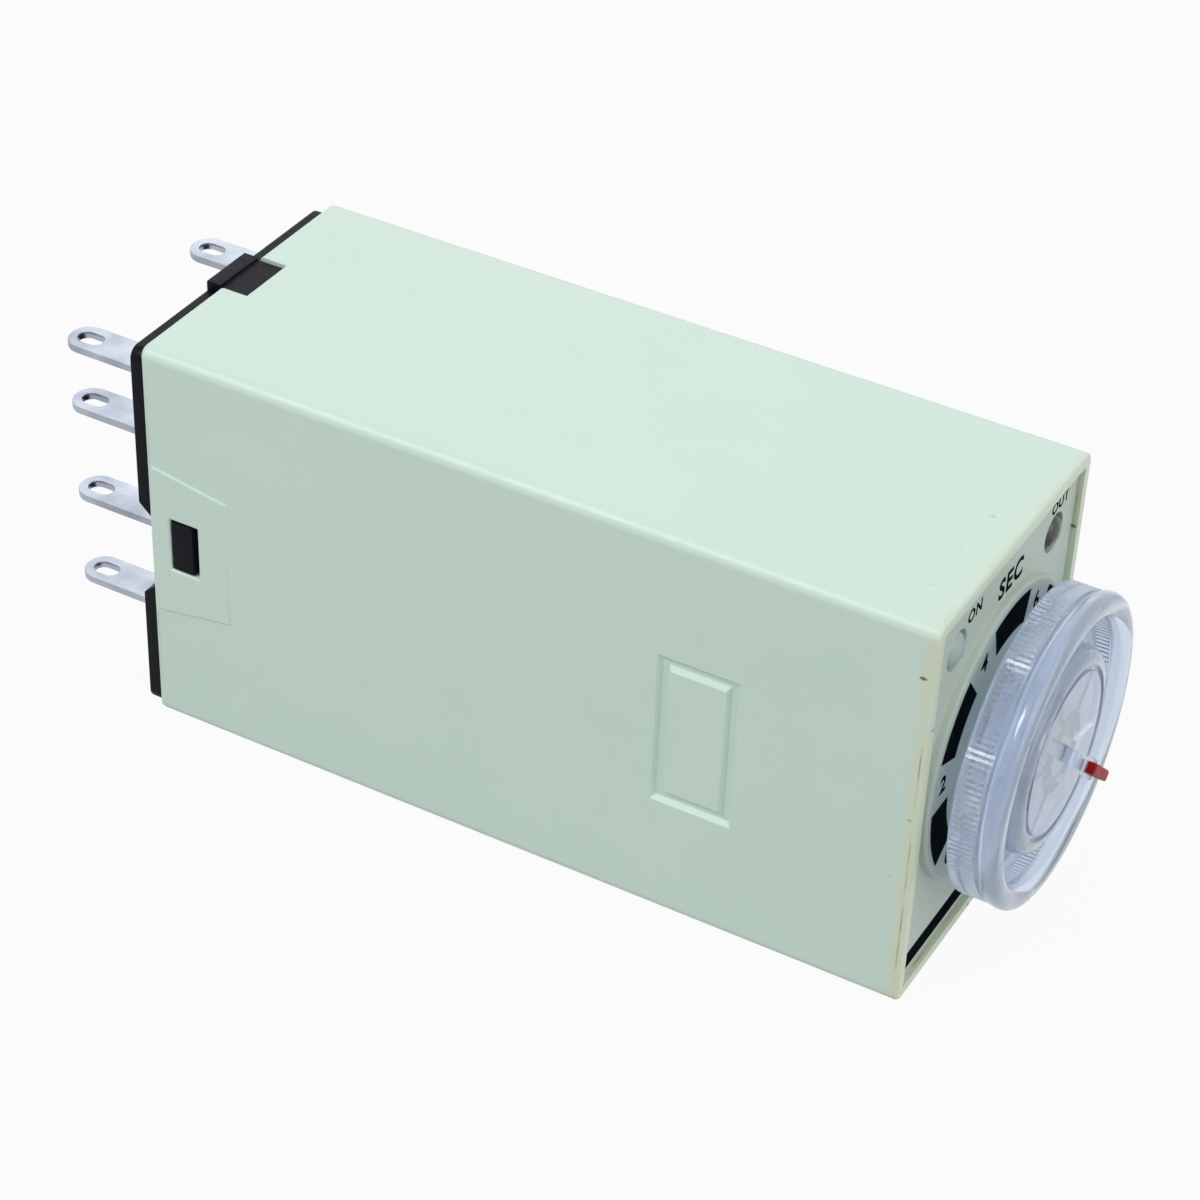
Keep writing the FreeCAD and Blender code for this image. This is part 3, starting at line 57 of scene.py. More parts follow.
# Housing
LENGTH = 53.8
HALF_WIDTH = 10.75
HEIGHT = 28.0
MIDDLE = HEIGHT / 2
WALL = 1.2
LONG_EDGE = 0.8
REAR_EDGE = 0.35
RIM = 0.85
RIM_EDGE = 0.25
LEDGE = 0.8
LEDGE_BACK = 51.5
PLATE_BACK = 52.5
PLATE_FACE = 53.4
ZONE_LENGTH = 6.1
ZONE_REAR_HALF = 5.6
ZONE_FRONT_HALF = 4.7
ZONE_RISE = 0.12
ZONE_ROOT = 0.04
ZONE_SLOPE = 0.16
WINDOW = (1.7, 3.75)
WINDOW_HALF = 1.9
WINDOW_EDGE = 0.2
GRIP = (36.4, 42.0)
GRIP_HALF = 5.5
GRIP_GROOVE = 1.0
GRIP_DEPTH = 0.35
GRIP_SLOPE = 0.3
KEY_LENGTH = 2.05
KEY_HALF = 2.2

# Base
FLANGE = 1.0
FLANGE_SIDE = 10.4
FLANGE_BOTTOM = 0.25
FLANGE_TOP = 27.4
FLANGE_CORNER = 0.8
SPIGOT_SIDE = 9.45
SPIGOT_FLOOR = 1.3
SPIGOT_END = 5.0
SPIGOT_WALL = 1.1
BASE_PLATE = 2.6
RAIL_INNER = 6.5
RAIL_OUTER = 8.9
RAIL_TOP = 4.7
RAIL_END = 35.5
BAR_START = 30.0
BAR_TOP = 2.8
YOKE_SLOT = (31.95, 33.55)
COLLAR_FACE = -1.5
COLLAR_HALF = 1.9
COLLAR_LIFT = 1.75
LUG = (1.75, 3.7)
LUG_LAND = 1.6
LUG_CREST = 10.8
LUG_HALF = 1.85
NOTCH_FRONT_HALF = 2.6
NOTCH_REAR_HALF = 3.5
NOTCH_DEPTH = 1.4
TAB_BACK = -1.1
TAB_BOTTOM = 26.15
TAB_STEP = 0.2
SLIDE = 0.1
SEAT = 0.05
RIB_WIDTH = 0.7
RIB_HEIGHT = 0.8
BASE_EDGE = 0.1

# Blades
BLADE_TIP = -8.4
BLADE_HALF = 1.3
BLADE_THICK = 0.5
BLADE_COLUMN = 6.6
PRESS = 0.02
SHORT_END = 6.2
LONG_END = 8.4
HOLE_BACK = 1.5
HOLE_HALF_LENGTH = 0.9
HOLE_HALF_WIDTH = 0.6
ROWS = {"closed": 23.9, "open": 19.3, "common": 12.5, "coil": 6.0}

# Front
PLATE_HALF = 9.85
PLATE_MARGIN = 0.9
AXIS = 14.05
TABLE_RADIUS = 9.7
TABLE_FACE = 54.0
TABLE_ROOT = 0.3
# The table's rounded edge, as steps back from its face and in from its side
TABLE_EDGE = ((0.25, 0.0), (0.08, 0.07), (0.0, 0.25))
PLATE_EDGE = 0.05
SHAFT_HOLE = 3.05
LAMP_HOLE = 1.3
LAMP_COLUMN = 6.85
LAMP_HEIGHT = 24.1
LAMP_RADIUS = 1.25
LAMP_BACK = 49.2
LAMP_TIP = 53.75
LAMP_DOME = 1.0
LEG_PITCH = 1.27
LEG_HALF = 0.25
LEG_ROOT = 0.2
DOME_STEP = 10

# Dial
DIAL_RIDGES = 160
RIDGE_DEPTH = 0.06
RIDGE_FRONT = 57.15
BORE = 1.5
BORE_END = 57.4
BORE_FLAT = (1.0, 2.1)
BOSS_BACK = 54.7
HUB_RIBS = 6
HUB_RIB = (55.9, 57.5)
HUB_RIB_REACH = (2.2, 5.9)
HUB_RIB_HALF = 0.35
WEB_BACK = 56.2
WEB_REACH = (6.1, 9.25)
WEB_HALF = 0.65
SLOT_FLOOR = 57.8
SLOT_HALF_LENGTH = 4.0
SLOT_HALF_WIDTH = 0.5
PAST_FRONT = 60.0
PAST_RING = 11.0
NECK = 9.88
POINTER_ANGLE = -42.0
POINTER_BACK = 58.35
POINTER_FRONT = 58.95
POINTER_START = 6.3
POINTER_END = 10.0
POINTER_HALF = 0.375
POINTER_EDGE = 0.14

# The dial's section, as (place, radius) steps
DIAL_PROFILE = [
    # Bore, boss and the hollow behind the hub
    (BORE_END, BORE), (BOSS_BACK, BORE), (BOSS_BACK, 2.7), (57.3, 2.7), (57.3, 5.6), (55.8, 5.6),
    # Floor of the well and the rear edge of the ring
    (55.8, 8.5), (55.3, 8.5), (55.3, 9.76),
    # Ridged band, groove and front bead
    (55.42, NECK), (57.12, NECK), (57.18, 9.72), (57.3, 9.7), (57.42, 9.86), (57.6, 9.97),
    (57.8, 10.0), (58.05, 10.0), (58.24, 9.96), (58.4, 9.86), (58.52, 9.7), (58.58, 9.5),
    (58.6, 9.3), (58.6, 9.15), (58.57, 8.94), (58.5, 8.76), (58.37, 8.62), (58.2, 8.53),
    # Down the well and up the hub
    (56.8, 8.5), (56.66, 8.44), (56.6, 8.3), (56.6, 6.8), (56.66, 6.66), (56.8, 6.6),
    (57.7, 6.6), (58.0, 6.53), (58.22, 6.36), (58.36, 6.1), (58.4, 5.8),
    # The ring groove on the hub's face
    (58.4, 5.6), (58.15, 5.55), (58.15, 5.25), (58.4, 5.2),
]

# Inside: the leaf that returns the armature, the leads to its springs, and how many lengths each is built in
LEAF = 0.2
LEAD = 0.6
BENDS = 8

# Small roundings, how near counts as the same place, how level a face is, how sharp an edge is, and which
# faces lie in one plane
FINE_EDGE = 0.06
NEAR = 0.01
LEVEL = 0.1
SHARP = math.radians(32)
COPLANAR = math.radians(0.3)

# How far the cutter of a hole reaches, from the middle of a blade or past the plate
CUT_REACH = 1

# Steps round an edge, sides of round pieces, and the angles in degrees up to which faces are shaded as one
LONG_STEPS = 6
RIM_STEPS = 4
REAR_STEPS = 3
FINE_STEPS = 2
CORNER_STEPS = 8
TIP_STEPS = 10
POINTER_STEPS = 3
TABLE_SIDES = 160
HOLE_SIDES = 64
LAMP_SIDES = 48
SMOOTH = 35
DIAL_SMOOTH = 25


def place(x, y, z):
    """A point given in millimetres from the housing's rear edge, in the frame's metres."""
    return Vector((REAR + x * MM, y * MM, z * MM))


def near(a, b):
    """Whether two places are the same."""
    return abs(a - b) < NEAR


def spots(part):
    """The corners of a vertex, edge or face, in millimetres from the housing's rear edge."""
    corners = [part] if isinstance(part, bmesh.types.BMVert) else part.verts
    return [((v.co.x - REAR) / MM, v.co.y / MM, v.co.z / MM) for v in corners]


def middle(part):
    """The mean of a part's corners, in millimetres."""
    corners = spots(part)
    return [sum(values) / len(corners) for values in zip(*corners)]


def sharp(edge):
    """Whether the faces beside an edge turn enough for it to be rounded."""
    return len(edge.link_faces) == 2 and edge.calc_face_angle(0) > SHARP


def pick(piece, kind, wanted):
    """Opens a piece for editing with only the parts selected that a test wants."""
    bpy.context.view_layer.objects.active = piece
    bpy.ops.object.mode_set(mode="EDIT")
    bpy.ops.mesh.select_mode(type=kind)
    bpy.ops.mesh.select_all(action="DESELECT")
    mesh = bmesh.from_edit_mesh(piece.data)
    mesh.normal_update()
    parts = {"VERT": mesh.verts, "EDGE": mesh.edges, "FACE": mesh.faces}[kind]
    for part in parts:
        if wanted(part):
            part.select_set(True)
    bmesh.update_edit_mesh(piece.data)


def close_edit():
    """Goes back from editing a mesh."""
    bpy.ops.object.mode_set(mode="OBJECT")


def extrude(x, y=0, z=0):
    """Draws the selected parts out, in millimetres."""
    bpy.ops.mesh.extrude_region_move(TRANSFORM_OT_translate={"value": (x * MM, y * MM, z * MM)})


def select_only(piece):
    """Makes a piece the active one, and the only one selected."""
    bpy.ops.object.select_all(action="DESELECT")
    bpy.context.view_layer.objects.active = piece
    piece.select_set(True)


def apply_transform():
    """Puts the selected piece's place, turn and size into its mesh."""
    bpy.ops.object.transform_apply(location=True, rotation=True, scale=True)


def finish_start(name):
    """Names the primitive just added and puts its place and size into its mesh."""
    piece = bpy.context.active_object
    piece.name = name
    piece.data.name = name
    apply_transform()
    return piece


def block(name, xs, ys, zs):
    """A block between pairs of places along the three axes."""
    low = place(min(xs), min(ys), min(zs))
    high = place(max(xs), max(ys), max(zs))
    bpy.ops.object.select_all(action="DESELECT")
    bpy.ops.mesh.primitive_cube_add(size=1, location=(low + high) / 2)
    bpy.context.active_object.scale = high - low
    return finish_start(name)


def turned(name, profile, y, z, sides):
    """A round piece about a lengthwise axis, grown ring by ring from a disc along (x, radius) steps."""
    x, radius = profile[0]
    bpy.ops.object.select_all(action="DESELECT")
    bpy.ops.mesh.primitive_circle_add(
        vertices=sides,
        radius=radius * MM,
        fill_type="NGON",
        location=place(x, y, z),
        rotation=(0, math.pi / 2, 0),
    )
    piece = finish_start(name)
    bpy.ops.object.mode_set(mode="EDIT")
    bpy.ops.mesh.select_all(action="SELECT")
    for next_x, next_radius in profile[1:]:
        extrude(next_x - x)
        if next_radius != radius:
            ratio = next_radius / radius
            bpy.ops.transform.resize(value=(1, ratio, ratio), center_override=place(next_x, y, z))
        x, radius = next_x, next_radius
    bpy.ops.mesh.select_all(action="SELECT")
    bpy.ops.mesh.normals_make_consistent(inside=False)
    close_edit()
    return piece


def carve(piece, tool, operation="DIFFERENCE"):
    """Cuts one piece with another, or joins it on, and drops the tool."""
    select_only(piece)
    change = piece.modifiers.new("carve", "BOOLEAN")
    change.operation = operation
    change.solver = "EXACT"
    change.object = tool
    bpy.ops.object.modifier_apply(modifier=change.name)
    bpy.data.meshes.remove(tool.data)


def soften(piece, width, steps, wanted=sharp):
    """Rounds the edges that a test wants."""
    pick(piece, "EDGE", wanted)
    bpy.ops.mesh.bevel(offset=width * MM, offset_type="OFFSET", segments=steps, affect="EDGES")
    close_edit()


def merge_flat(piece):
    """Joins the faces that cuts have split, where they lie in one plane."""
    pick(piece, "FACE", lambda face: True)
    bpy.ops.mesh.dissolve_limited(angle_limit=COPLANAR)
    close_edit()


def shade(piece, degrees=SMOOTH):
    """Smooth over the rounded edges, with flat faces kept flat."""
    select_only(piece)
    bpy.ops.object.shade_smooth_by_angle(angle=math.radians(degrees))
    change = piece.modifiers.new("weigh", "WEIGHTED_NORMAL")
    change.keep_sharp = True
    change.thresh = 0.0
    bpy.ops.object.modifier_apply(modifier=change.name)


def copy_of(piece, name):
    """A copy of a piece with a mesh of its own."""
    select_only(piece)
    bpy.ops.object.duplicate(linked=False)
    return finish_start(name)


def span(node):
    """A CAD node's box as pairs of places along the three axes."""
    low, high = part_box(node)
    return [((low[0] - REAR) / MM, (high[0] - REAR) / MM)] + [(low[i] / MM, high[i] / MM) for i in (1, 2)]


def joined(pieces):
    """Makes several pieces one, under the first one's name."""
    bpy.ops.object.select_all(action="DESELECT")
    for item in pieces:
        item.select_set(True)
    bpy.context.view_layer.objects.active = pieces[0]
    bpy.ops.object.join()
    return pieces[0]


def shift(piece, x, y, z):
    """Moves a finished mesh and puts the move into it."""
    select_only(piece)
    piece.location = Vector((x, y, z)) * MM
    apply_transform()


def turn_on_axis(piece, degrees):
    """Turns a piece about the dial's axis."""
    centre = place(0, 0, AXIS)
    select_only(piece)
    turn = Matrix.Rotation(math.radians(degrees), 4, "X")
    piece.matrix_world = Matrix.Translation(centre) @ turn @ Matrix.Translation(-centre)
    apply_transform()


def make_housing():
    shell = block("housing_shell", (0, LENGTH), (-HALF_WIDTH, HALF_WIDTH), (0, HEIGHT))

    # The cavity from the rear, the recess at the front and the opening between them
    pick(shell, "FACE", lambda face: all(near(x, 0) for x, y, z in spots(face)))
    bpy.ops.mesh.inset(thickness=WALL * MM)
    extrude(LEDGE_BACK)
    bpy.ops.mesh.inset(thickness=(RIM + LEDGE - WALL) * MM)
    close_edit()
    pick(shell, "FACE", lambda face: all(near(x, LENGTH) for x, y, z in spots(face)))
    bpy.ops.mesh.inset(thickness=RIM * MM)
    extrude(PLATE_BACK - LENGTH)
    bpy.ops.mesh.inset(thickness=LEDGE * MM)
    close_edit()

    def opening(face):
        x, y, z = middle(face)
        return near(y, 0) and near(z, MIDDLE) and (near(x, LEDGE_BACK) or near(x, PLATE_BACK))

    pick(shell, "FACE", opening)
    bpy.ops.mesh.bridge_edge_loops()
    close_edit()

    def long_edge(edge):
        corners = spots(edge)
        outside = all(near(abs(y), HALF_WIDTH) and near(abs(z - MIDDLE), MIDDLE) for x, y, z in corners)
        return outside and not near(corners[0][0], corners[1][0])

    soften(shell, LONG_EDGE, LONG_STEPS, long_edge)

    def outer_corner(end):
        def wanted(edge):
            if not all(near(x, end) for x, y, z in spots(edge)):
                return False
            for face in edge.link_faces:
                x, y, z = middle(face)
                outward = face.normal.y * y + face.normal.z * (z - MIDDLE)
                if abs(face.normal.x) < LEVEL and outward > 0:
                    return True
            return False

        return wanted

    soften(shell, RIM_EDGE, RIM_STEPS, outer_corner(LENGTH))
    soften(shell, REAR_EDGE, REAR_STEPS, outer_corner(0))

    for sign in (-1, 1):
        carve(shell, latch_zone(sign), "UNION")
        carve(shell, grip_ring(sign))

    through = (-2 * HALF_WIDTH, 2 * HALF_WIDTH)
    carve(shell, block("window", WINDOW, through, (MIDDLE - WINDOW_HALF, MIDDLE + WINDOW_HALF)))
    heights = (HEIGHT - 2 * WALL, HEIGHT + WALL)
    carve(shell, block("notch", (-WALL, KEY_LENGTH), (-KEY_HALF, KEY_HALF), heights))

    def window_edge(edge):
        x, y, z = middle(edge)
        beside = WINDOW[0] - NEAR < x < WINDOW[1] + NEAR and abs(z - MIDDLE) < WINDOW_HALF + NEAR
        return beside and near(abs(y), HALF_WIDTH + ZONE_RISE)

    soften(shell, WINDOW_EDGE, FINE_STEPS, window_edge)
    soften(shell, FINE_EDGE, FINE_STEPS)
    for sign in (-1, 1):
        add_ribs(shell, sign)
    merge_flat(shell)
    shade(shell)
    return shell


def latch_zone(sign):
    """The faint raised zone round a latch window, taller at the rear."""
    crest = HALF_WIDTH + ZONE_RISE
    heights = (MIDDLE - ZONE_REAR_HALF, MIDDLE + ZONE_REAR_HALF)
    sides = (sign * (HALF_WIDTH - ZONE_ROOT), sign * crest)
    zone = block("zone", (REAR_EDGE, ZONE_LENGTH), sides, heights)
    pick(zone, "VERT", lambda vertex: near(spots(vertex)[0][0], ZONE_LENGTH))
    ratio = ZONE_FRONT_HALF / ZONE_REAR_HALF
    bpy.ops.transform.resize(value=(1, 1, ratio), center_override=place(ZONE_LENGTH, 0, MIDDLE))
    close_edit()

    # The sides of the zone slope up to its face
    pick(zone, "FACE", lambda face: all(near(abs(y), crest) for x, y, z in spots(face)))
    length_ratio = 1 - 2 * ZONE_SLOPE / (ZONE_LENGTH - REAR_EDGE)
    height_ratio = 1 - ZONE_SLOPE / ZONE_REAR_HALF
    centre = place((REAR_EDGE + ZONE_LENGTH) / 2, sign * crest, MIDDLE)
    bpy.ops.transform.resize(value=(length_ratio, 1, height_ratio), center_override=centre)
    close_edit()
    return zone


def grip_ring(sign):
    """The cutter for a rectangular groove with sloped walls."""
    floor = HALF_WIDTH - GRIP_DEPTH
    top = HALF_WIDTH + FINE_EDGE
    heights = (MIDDLE - GRIP_HALF, MIDDLE + GRIP_HALF)
    ring = block("ring", GRIP, (sign * floor, sign * top), heights)

    def level(height):
        return lambda face: all(near(abs(y), height) for x, y, z in spots(face))

    pick(ring, "FACE", level(floor))
    length_ratio = 1 - 2 * GRIP_SLOPE / (GRIP[1] - GRIP[0])
    height_ratio = 1 - GRIP_SLOPE / GRIP_HALF
    centre = place(sum(GRIP) / 2, sign * floor, MIDDLE)
    bpy.ops.transform.resize(value=(length_ratio, 1, height_ratio), center_override=centre)
    bpy.ops.mesh.inset(thickness=(GRIP_GROOVE - 2 * GRIP_SLOPE) * MM)
    close_edit()
    pick(ring, "FACE", level(top))
    bpy.ops.mesh.inset(thickness=GRIP_GROOVE * MM)
    close_edit()

    def pad_face(face):
        x, y, z = middle(face)
        return near(x, sum(GRIP) / 2) and near(z, MIDDLE)

    pick(ring, "FACE", pad_face)
    bpy.ops.mesh.bridge_edge_loops()
    close_edit()
    return ring


def add_ribs(shell, sign):
    """The ribs inside that carry the timer board and stop the front board."""
    sides = (sign * (HALF_WIDTH - WALL - RIB_WIDTH), sign * (HALF_WIDTH - WALL / 2))
    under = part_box("timer_board")[0][2] / MM - SEAT
    start = (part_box("timer_board")[0][0] - REAR) / MM - RIB_HEIGHT
    stop_back, stop_face = ((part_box("front_board")[end][0] - REAR) / MM for end in (0, 1))
    carve(shell, block("guide", (start, stop_back), sides, (under - RIB_HEIGHT, under)), "UNION")
    stop = (stop_face + SEAT, stop_face + SEAT + RIB_HEIGHT)
    carve(shell, block("stop", stop, sides, (WALL / 2, under - RIB_HEIGHT)), "UNION")


def soft_block(name, xs, ys, zs):
    """A block of the base with its edges rounded."""
    piece = block(name, xs, ys, zs)
    soften(piece, BASE_EDGE, FINE_STEPS)
    return piece


def make_base():
    sides = (-FLANGE_SIDE, FLANGE_SIDE)
    base = block("base_block", (-FLANGE, 0), sides, (FLANGE_BOTTOM, FLANGE_TOP))
    soften(base, FLANGE_CORNER, CORNER_STEPS, lambda edge: not near(spots(edge)[0][0], spots(edge)[1][0]))
    for sign in (-1, 1):
        carve(base, side_notch(sign))
    soften(base, BASE_EDGE, FINE_STEPS)

    # Each piece is rounded before it is joined on
    carve(base, spigot(), "UNION")
    for sign in (-1, 1):
        rail_sides = (sign * RAIL_INNER, sign * RAIL_OUTER)
        rail = soft_block("rail", (BASE_PLATE / 2, RAIL_END), rail_sides, (SPIGOT_FLOOR, RAIL_TOP))
        carve(base, rail, "UNION")
        collar_sides = (sign * (BLADE_COLUMN - COLLAR_HALF), sign * (BLADE_COLUMN + COLLAR_HALF))
        for height in ROWS.values():
            heights = (height - COLLAR_LIFT, height + COLLAR_LIFT)
            collar = soft_block("collar", (COLLAR_FACE, -FLANGE / 2), collar_sides, heights)
            carve(base, collar, "UNION")
        carve(base, latch_lug(sign), "UNION")

    bar_sides = (-RAIL_INNER - SEAT, RAIL_INNER + SEAT)
    bar = soft_block("bar", (BAR_START, RAIL_END), bar_sides, (SPIGOT_FLOOR, BAR_TOP))
    carve(base, bar, "UNION")
    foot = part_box("yoke")[0][2] / MM
    carve(base, block("seat", YOKE_SLOT, (-HALF_WIDTH, HALF_WIDTH), (foot, RAIL_TOP + WALL)))
    carve(base, key_tab(), "UNION")
    for sign in (-1, 1):
        for height in ROWS.values():
            carve(base, blade_slot(sign, height))
    merge_flat(base)
    shade(base)
    return base


def spigot():
    """The box that the housing slides over, hollow at the front."""
    sides = (-SPIGOT_SIDE, SPIGOT_SIDE)
    box = block("spigot", (-SEAT, SPIGOT_END), sides, (SPIGOT_FLOOR, HEIGHT - SPIGOT_FLOOR))
    pick(box, "FACE", lambda face: all(near(x, SPIGOT_END) for x, y, z in spots(face)))
    bpy.ops.mesh.inset(thickness=SPIGOT_WALL * MM)
    extrude(BASE_PLATE - SPIGOT_END)
    close_edit()
    soften(box, BASE_EDGE, FINE_STEPS, lambda edge: sharp(edge) and middle(edge)[0] > 0)
    return box


def latch_lug(sign):
    """A wedge that snaps into a latch window, with a flat crest at its rear."""
    sides = (sign * (SPIGOT_SIDE - SPIGOT_WALL / 2), sign * LUG_CREST)
    lug = block("lug", LUG, sides, (MIDDLE - LUG_HALF, MIDDLE + LUG_HALF))

    def front_crest(vertex):
        x, y, z = spots(vertex)[0]
        return near(x, LUG[1]) and near(abs(y), LUG_CREST)

    pick(lug, "VERT", front_crest)
    bpy.ops.transform.translate(value=((LUG[0] + LUG_LAND - LUG[1]) * MM, 0, 0))
    close_edit()
    soften(lug, BASE_EDGE, FINE_STEPS)
    return lug


def side_notch(sign):
    """The cutter for a notch in the flange's side, wider at the rear."""
    row = ROWS["common"]
    sides = (sign * (FLANGE_SIDE - NOTCH_DEPTH), sign * (FLANGE_SIDE + WALL))
    notch = block("notch", (-FLANGE, 0), sides, (row - NOTCH_FRONT_HALF, row + NOTCH_FRONT_HALF))
    pick(notch, "VERT", lambda vertex: near(spots(vertex)[0][0], -FLANGE))
    ratio = NOTCH_REAR_HALF / NOTCH_FRONT_HALF
    bpy.ops.transform.resize(value=(1, 1, ratio), center_override=place(-FLANGE, 0, row))
    close_edit()
    return notch


def key_tab():
    """The tab in the housing's top notch: a high rear part, and a lower front part drawn out of it."""
    half = KEY_HALF - SLIDE
    tab = block("tab", (TAB_BACK, 0), (-half, half), (TAB_BOTTOM, HEIGHT))
    pick(tab, "FACE", lambda face: all(near(x, 0) for x, y, z in spots(face)))
    extrude(KEY_LENGTH - SLIDE)
    close_edit()
    step = block("step", (0, KEY_LENGTH), (-KEY_HALF, KEY_HALF), (HEIGHT - TAB_STEP, HEIGHT + WALL))
    carve(tab, step)
    soften(tab, BASE_EDGE, FINE_STEPS)
    return tab


def blade_slot(sign, height):
    """The cutter for the slot that a blade is pressed into."""
    sides = (sign * BLADE_COLUMN - BLADE_HALF - PRESS, sign * BLADE_COLUMN + BLADE_HALF + PRESS)
    heights = (height - BLADE_THICK / 2 - PRESS, height + BLADE_THICK / 2 + PRESS)
    return block("slot", (COLLAR_FACE - WALL, SPIGOT_END), sides, heights)


def make_blade():
    """One short blade in the middle of the base, at height zero."""
    heights = (-BLADE_THICK / 2, BLADE_THICK / 2)
    blade = block("blade", (BLADE_TIP, SHORT_END), (-BLADE_HALF, BLADE_HALF), heights)

    def tip_corner(edge):
        corners = spots(edge)
        return all(near(x, BLADE_TIP) for x, y, z in corners) and near(corners[0][1], corners[1][1])

    soften(blade, BLADE_HALF - PRESS, TIP_STEPS, tip_corner)
    centre = BLADE_TIP + HOLE_BACK
    hole = block(
        "hole",
        (centre - HOLE_HALF_LENGTH, centre + HOLE_HALF_LENGTH),
        (-HOLE_HALF_WIDTH, HOLE_HALF_WIDTH),
        (-CUT_REACH, CUT_REACH),
    )

    def upright(edge):
        return not near(spots(edge)[0][2], spots(edge)[1][2])

    soften(hole, HOLE_HALF_WIDTH - PRESS, TIP_STEPS, upright)
    carve(blade, hole)
    soften(blade, FINE_EDGE, FINE_STEPS)
    merge_flat(blade)
    return blade


def make_blades():
    pattern = make_blade()
    blades = []
    for row, height in ROWS.items():
        for side, sign in (("left", 1), ("right", -1)):
            blade = copy_of(pattern, f"blade_{row}_{side}")
            if row in ("closed", "open"):
                pick(blade, "VERT", lambda v: spots(v)[0][0] > SHORT_END - 2 * FINE_EDGE)
                bpy.ops.transform.translate(value=((LONG_END - SHORT_END) * MM, 0, 0))
                close_edit()
            shift(blade, 0, sign * BLADE_COLUMN, height)
            shade(blade)
            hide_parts(f"{row}_terminal_{side}")
            blades.append(blade)
    bpy.data.meshes.remove(pattern.data)
    return blades


def make_face_plate():
    heights = (PLATE_MARGIN, HEIGHT - PLATE_MARGIN)
    plate = block("face_plate", (PLATE_BACK, PLATE_FACE), (-PLATE_HALF, PLATE_HALF), heights)
    profile = [(PLATE_BACK + TABLE_ROOT, TABLE_RADIUS)]
    profile += [(TABLE_FACE - back, TABLE_RADIUS - inward) for back, inward in TABLE_EDGE]
    carve(plate, turned("table", profile, 0, AXIS, TABLE_SIDES), "UNION")
    through = [PLATE_BACK - CUT_REACH, TABLE_FACE + CUT_REACH]
    carve(plate, turned("shaft_hole", [(x, SHAFT_HOLE) for x in through], 0, AXIS, HOLE_SIDES))
    for sign in (-1, 1):
        profile = [(x, LAMP_HOLE) for x in through]
        carve(plate, turned("lamp_hole", profile, sign * LAMP_COLUMN, LAMP_HEIGHT, LAMP_SIDES))
    soften(plate, PLATE_EDGE, FINE_STEPS)
    merge_flat(plate)
    shade(plate)
    return plate


def make_lamp(name, sign, node):
    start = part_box(node)[0][0]
    shoulder = LAMP_TIP - LAMP_DOME
    profile = [(LAMP_BACK, LAMP_RADIUS), (shoulder, LAMP_RADIUS)]
    for degrees in range(DOME_STEP, 90, DOME_STEP):
        angle = math.radians(degrees)
        profile.append((shoulder + LAMP_DOME * math.sin(angle), LAMP_RADIUS * math.cos(angle)))
    lamp = turned(name, profile, sign * LAMP_COLUMN, LAMP_HEIGHT, LAMP_SIDES)
    heights = (LAMP_HEIGHT - LEG_HALF, LAMP_HEIGHT + LEG_HALF)
    ends = ((start - REAR) / MM, LAMP_BACK + LEG_ROOT)
    for leg_sign in (-1, 1):
        y = sign * LAMP_COLUMN + leg_sign * LEG_PITCH / 2
        carve(lamp, block("leg", ends, (y - LEG_HALF, y + LEG_HALF), heights), "UNION")
    shade(lamp)
    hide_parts(node)
    return lamp


def make_dial():
    dial = turned("dial_knob", DIAL_PROFILE, 0, AXIS, 2 * DIAL_RIDGES)

    def ridge_valley(vertex):
        x, y, z = spots(vertex)[0]
        if abs(math.hypot(y, z - AXIS) - NECK) > NEAR or x > RIDGE_FRONT:
            return False
        return round(math.atan2(z - AXIS, y) / (math.pi / DIAL_RIDGES)) % 2 == 0

    pick(dial, "VERT", ridge_valley)
    ratio = (NECK - RIDGE_DEPTH) / NECK
    bpy.ops.transform.resize(value=(1, ratio, ratio), center_override=place(0, 0, AXIS))
    close_edit()

    for count in range(HUB_RIBS):
        rib = block("rib", HUB_RIB, HUB_RIB_REACH, (AXIS - HUB_RIB_HALF, AXIS + HUB_RIB_HALF))
        turn_on_axis(rib, 360 * (count + 0.5) / HUB_RIBS)
        carve(dial, rib, "UNION")
    web = block("web", (WEB_BACK, POINTER_BACK), WEB_REACH, (AXIS - WEB_HALF, AXIS + WEB_HALF))
    carve(dial, web, "UNION")
    seat = (AXIS - POINTER_HALF, AXIS + POINTER_HALF)
    carve(dial, block("seat", (POINTER_BACK, PAST_FRONT), (POINTER_START, PAST_RING), seat))
    slot = (AXIS - SLOT_HALF_WIDTH, AXIS + SLOT_HALF_WIDTH)
    carve(dial, block("slot", (SLOT_FLOOR, PAST_FRONT), (-SLOT_HALF_LENGTH, SLOT_HALF_LENGTH), slot))
    flat = (AXIS + BORE_FLAT[0], AXIS + BORE_FLAT[1])
    carve(dial, block("flat", (BOSS_BACK, BORE_END), (-BORE, BORE), flat), "UNION")
    turn_on_axis(dial, POINTER_ANGLE)
    shade(dial, DIAL_SMOOTH)
    return dial


def make_pointer():
    heights = (AXIS - POINTER_HALF, AXIS + POINTER_HALF)
    pointer = block("pointer_bar", (POINTER_BACK, POINTER_FRONT), (POINTER_START, POINTER_END), heights)

    def front_edge(edge):
        return any(near(x, POINTER_FRONT) for x, y, z in spots(edge))

    soften(pointer, POINTER_EDGE, POINTER_STEPS, front_edge)
    turn_on_axis(pointer, POINTER_ANGLE)
    shade(pointer)
    return pointer


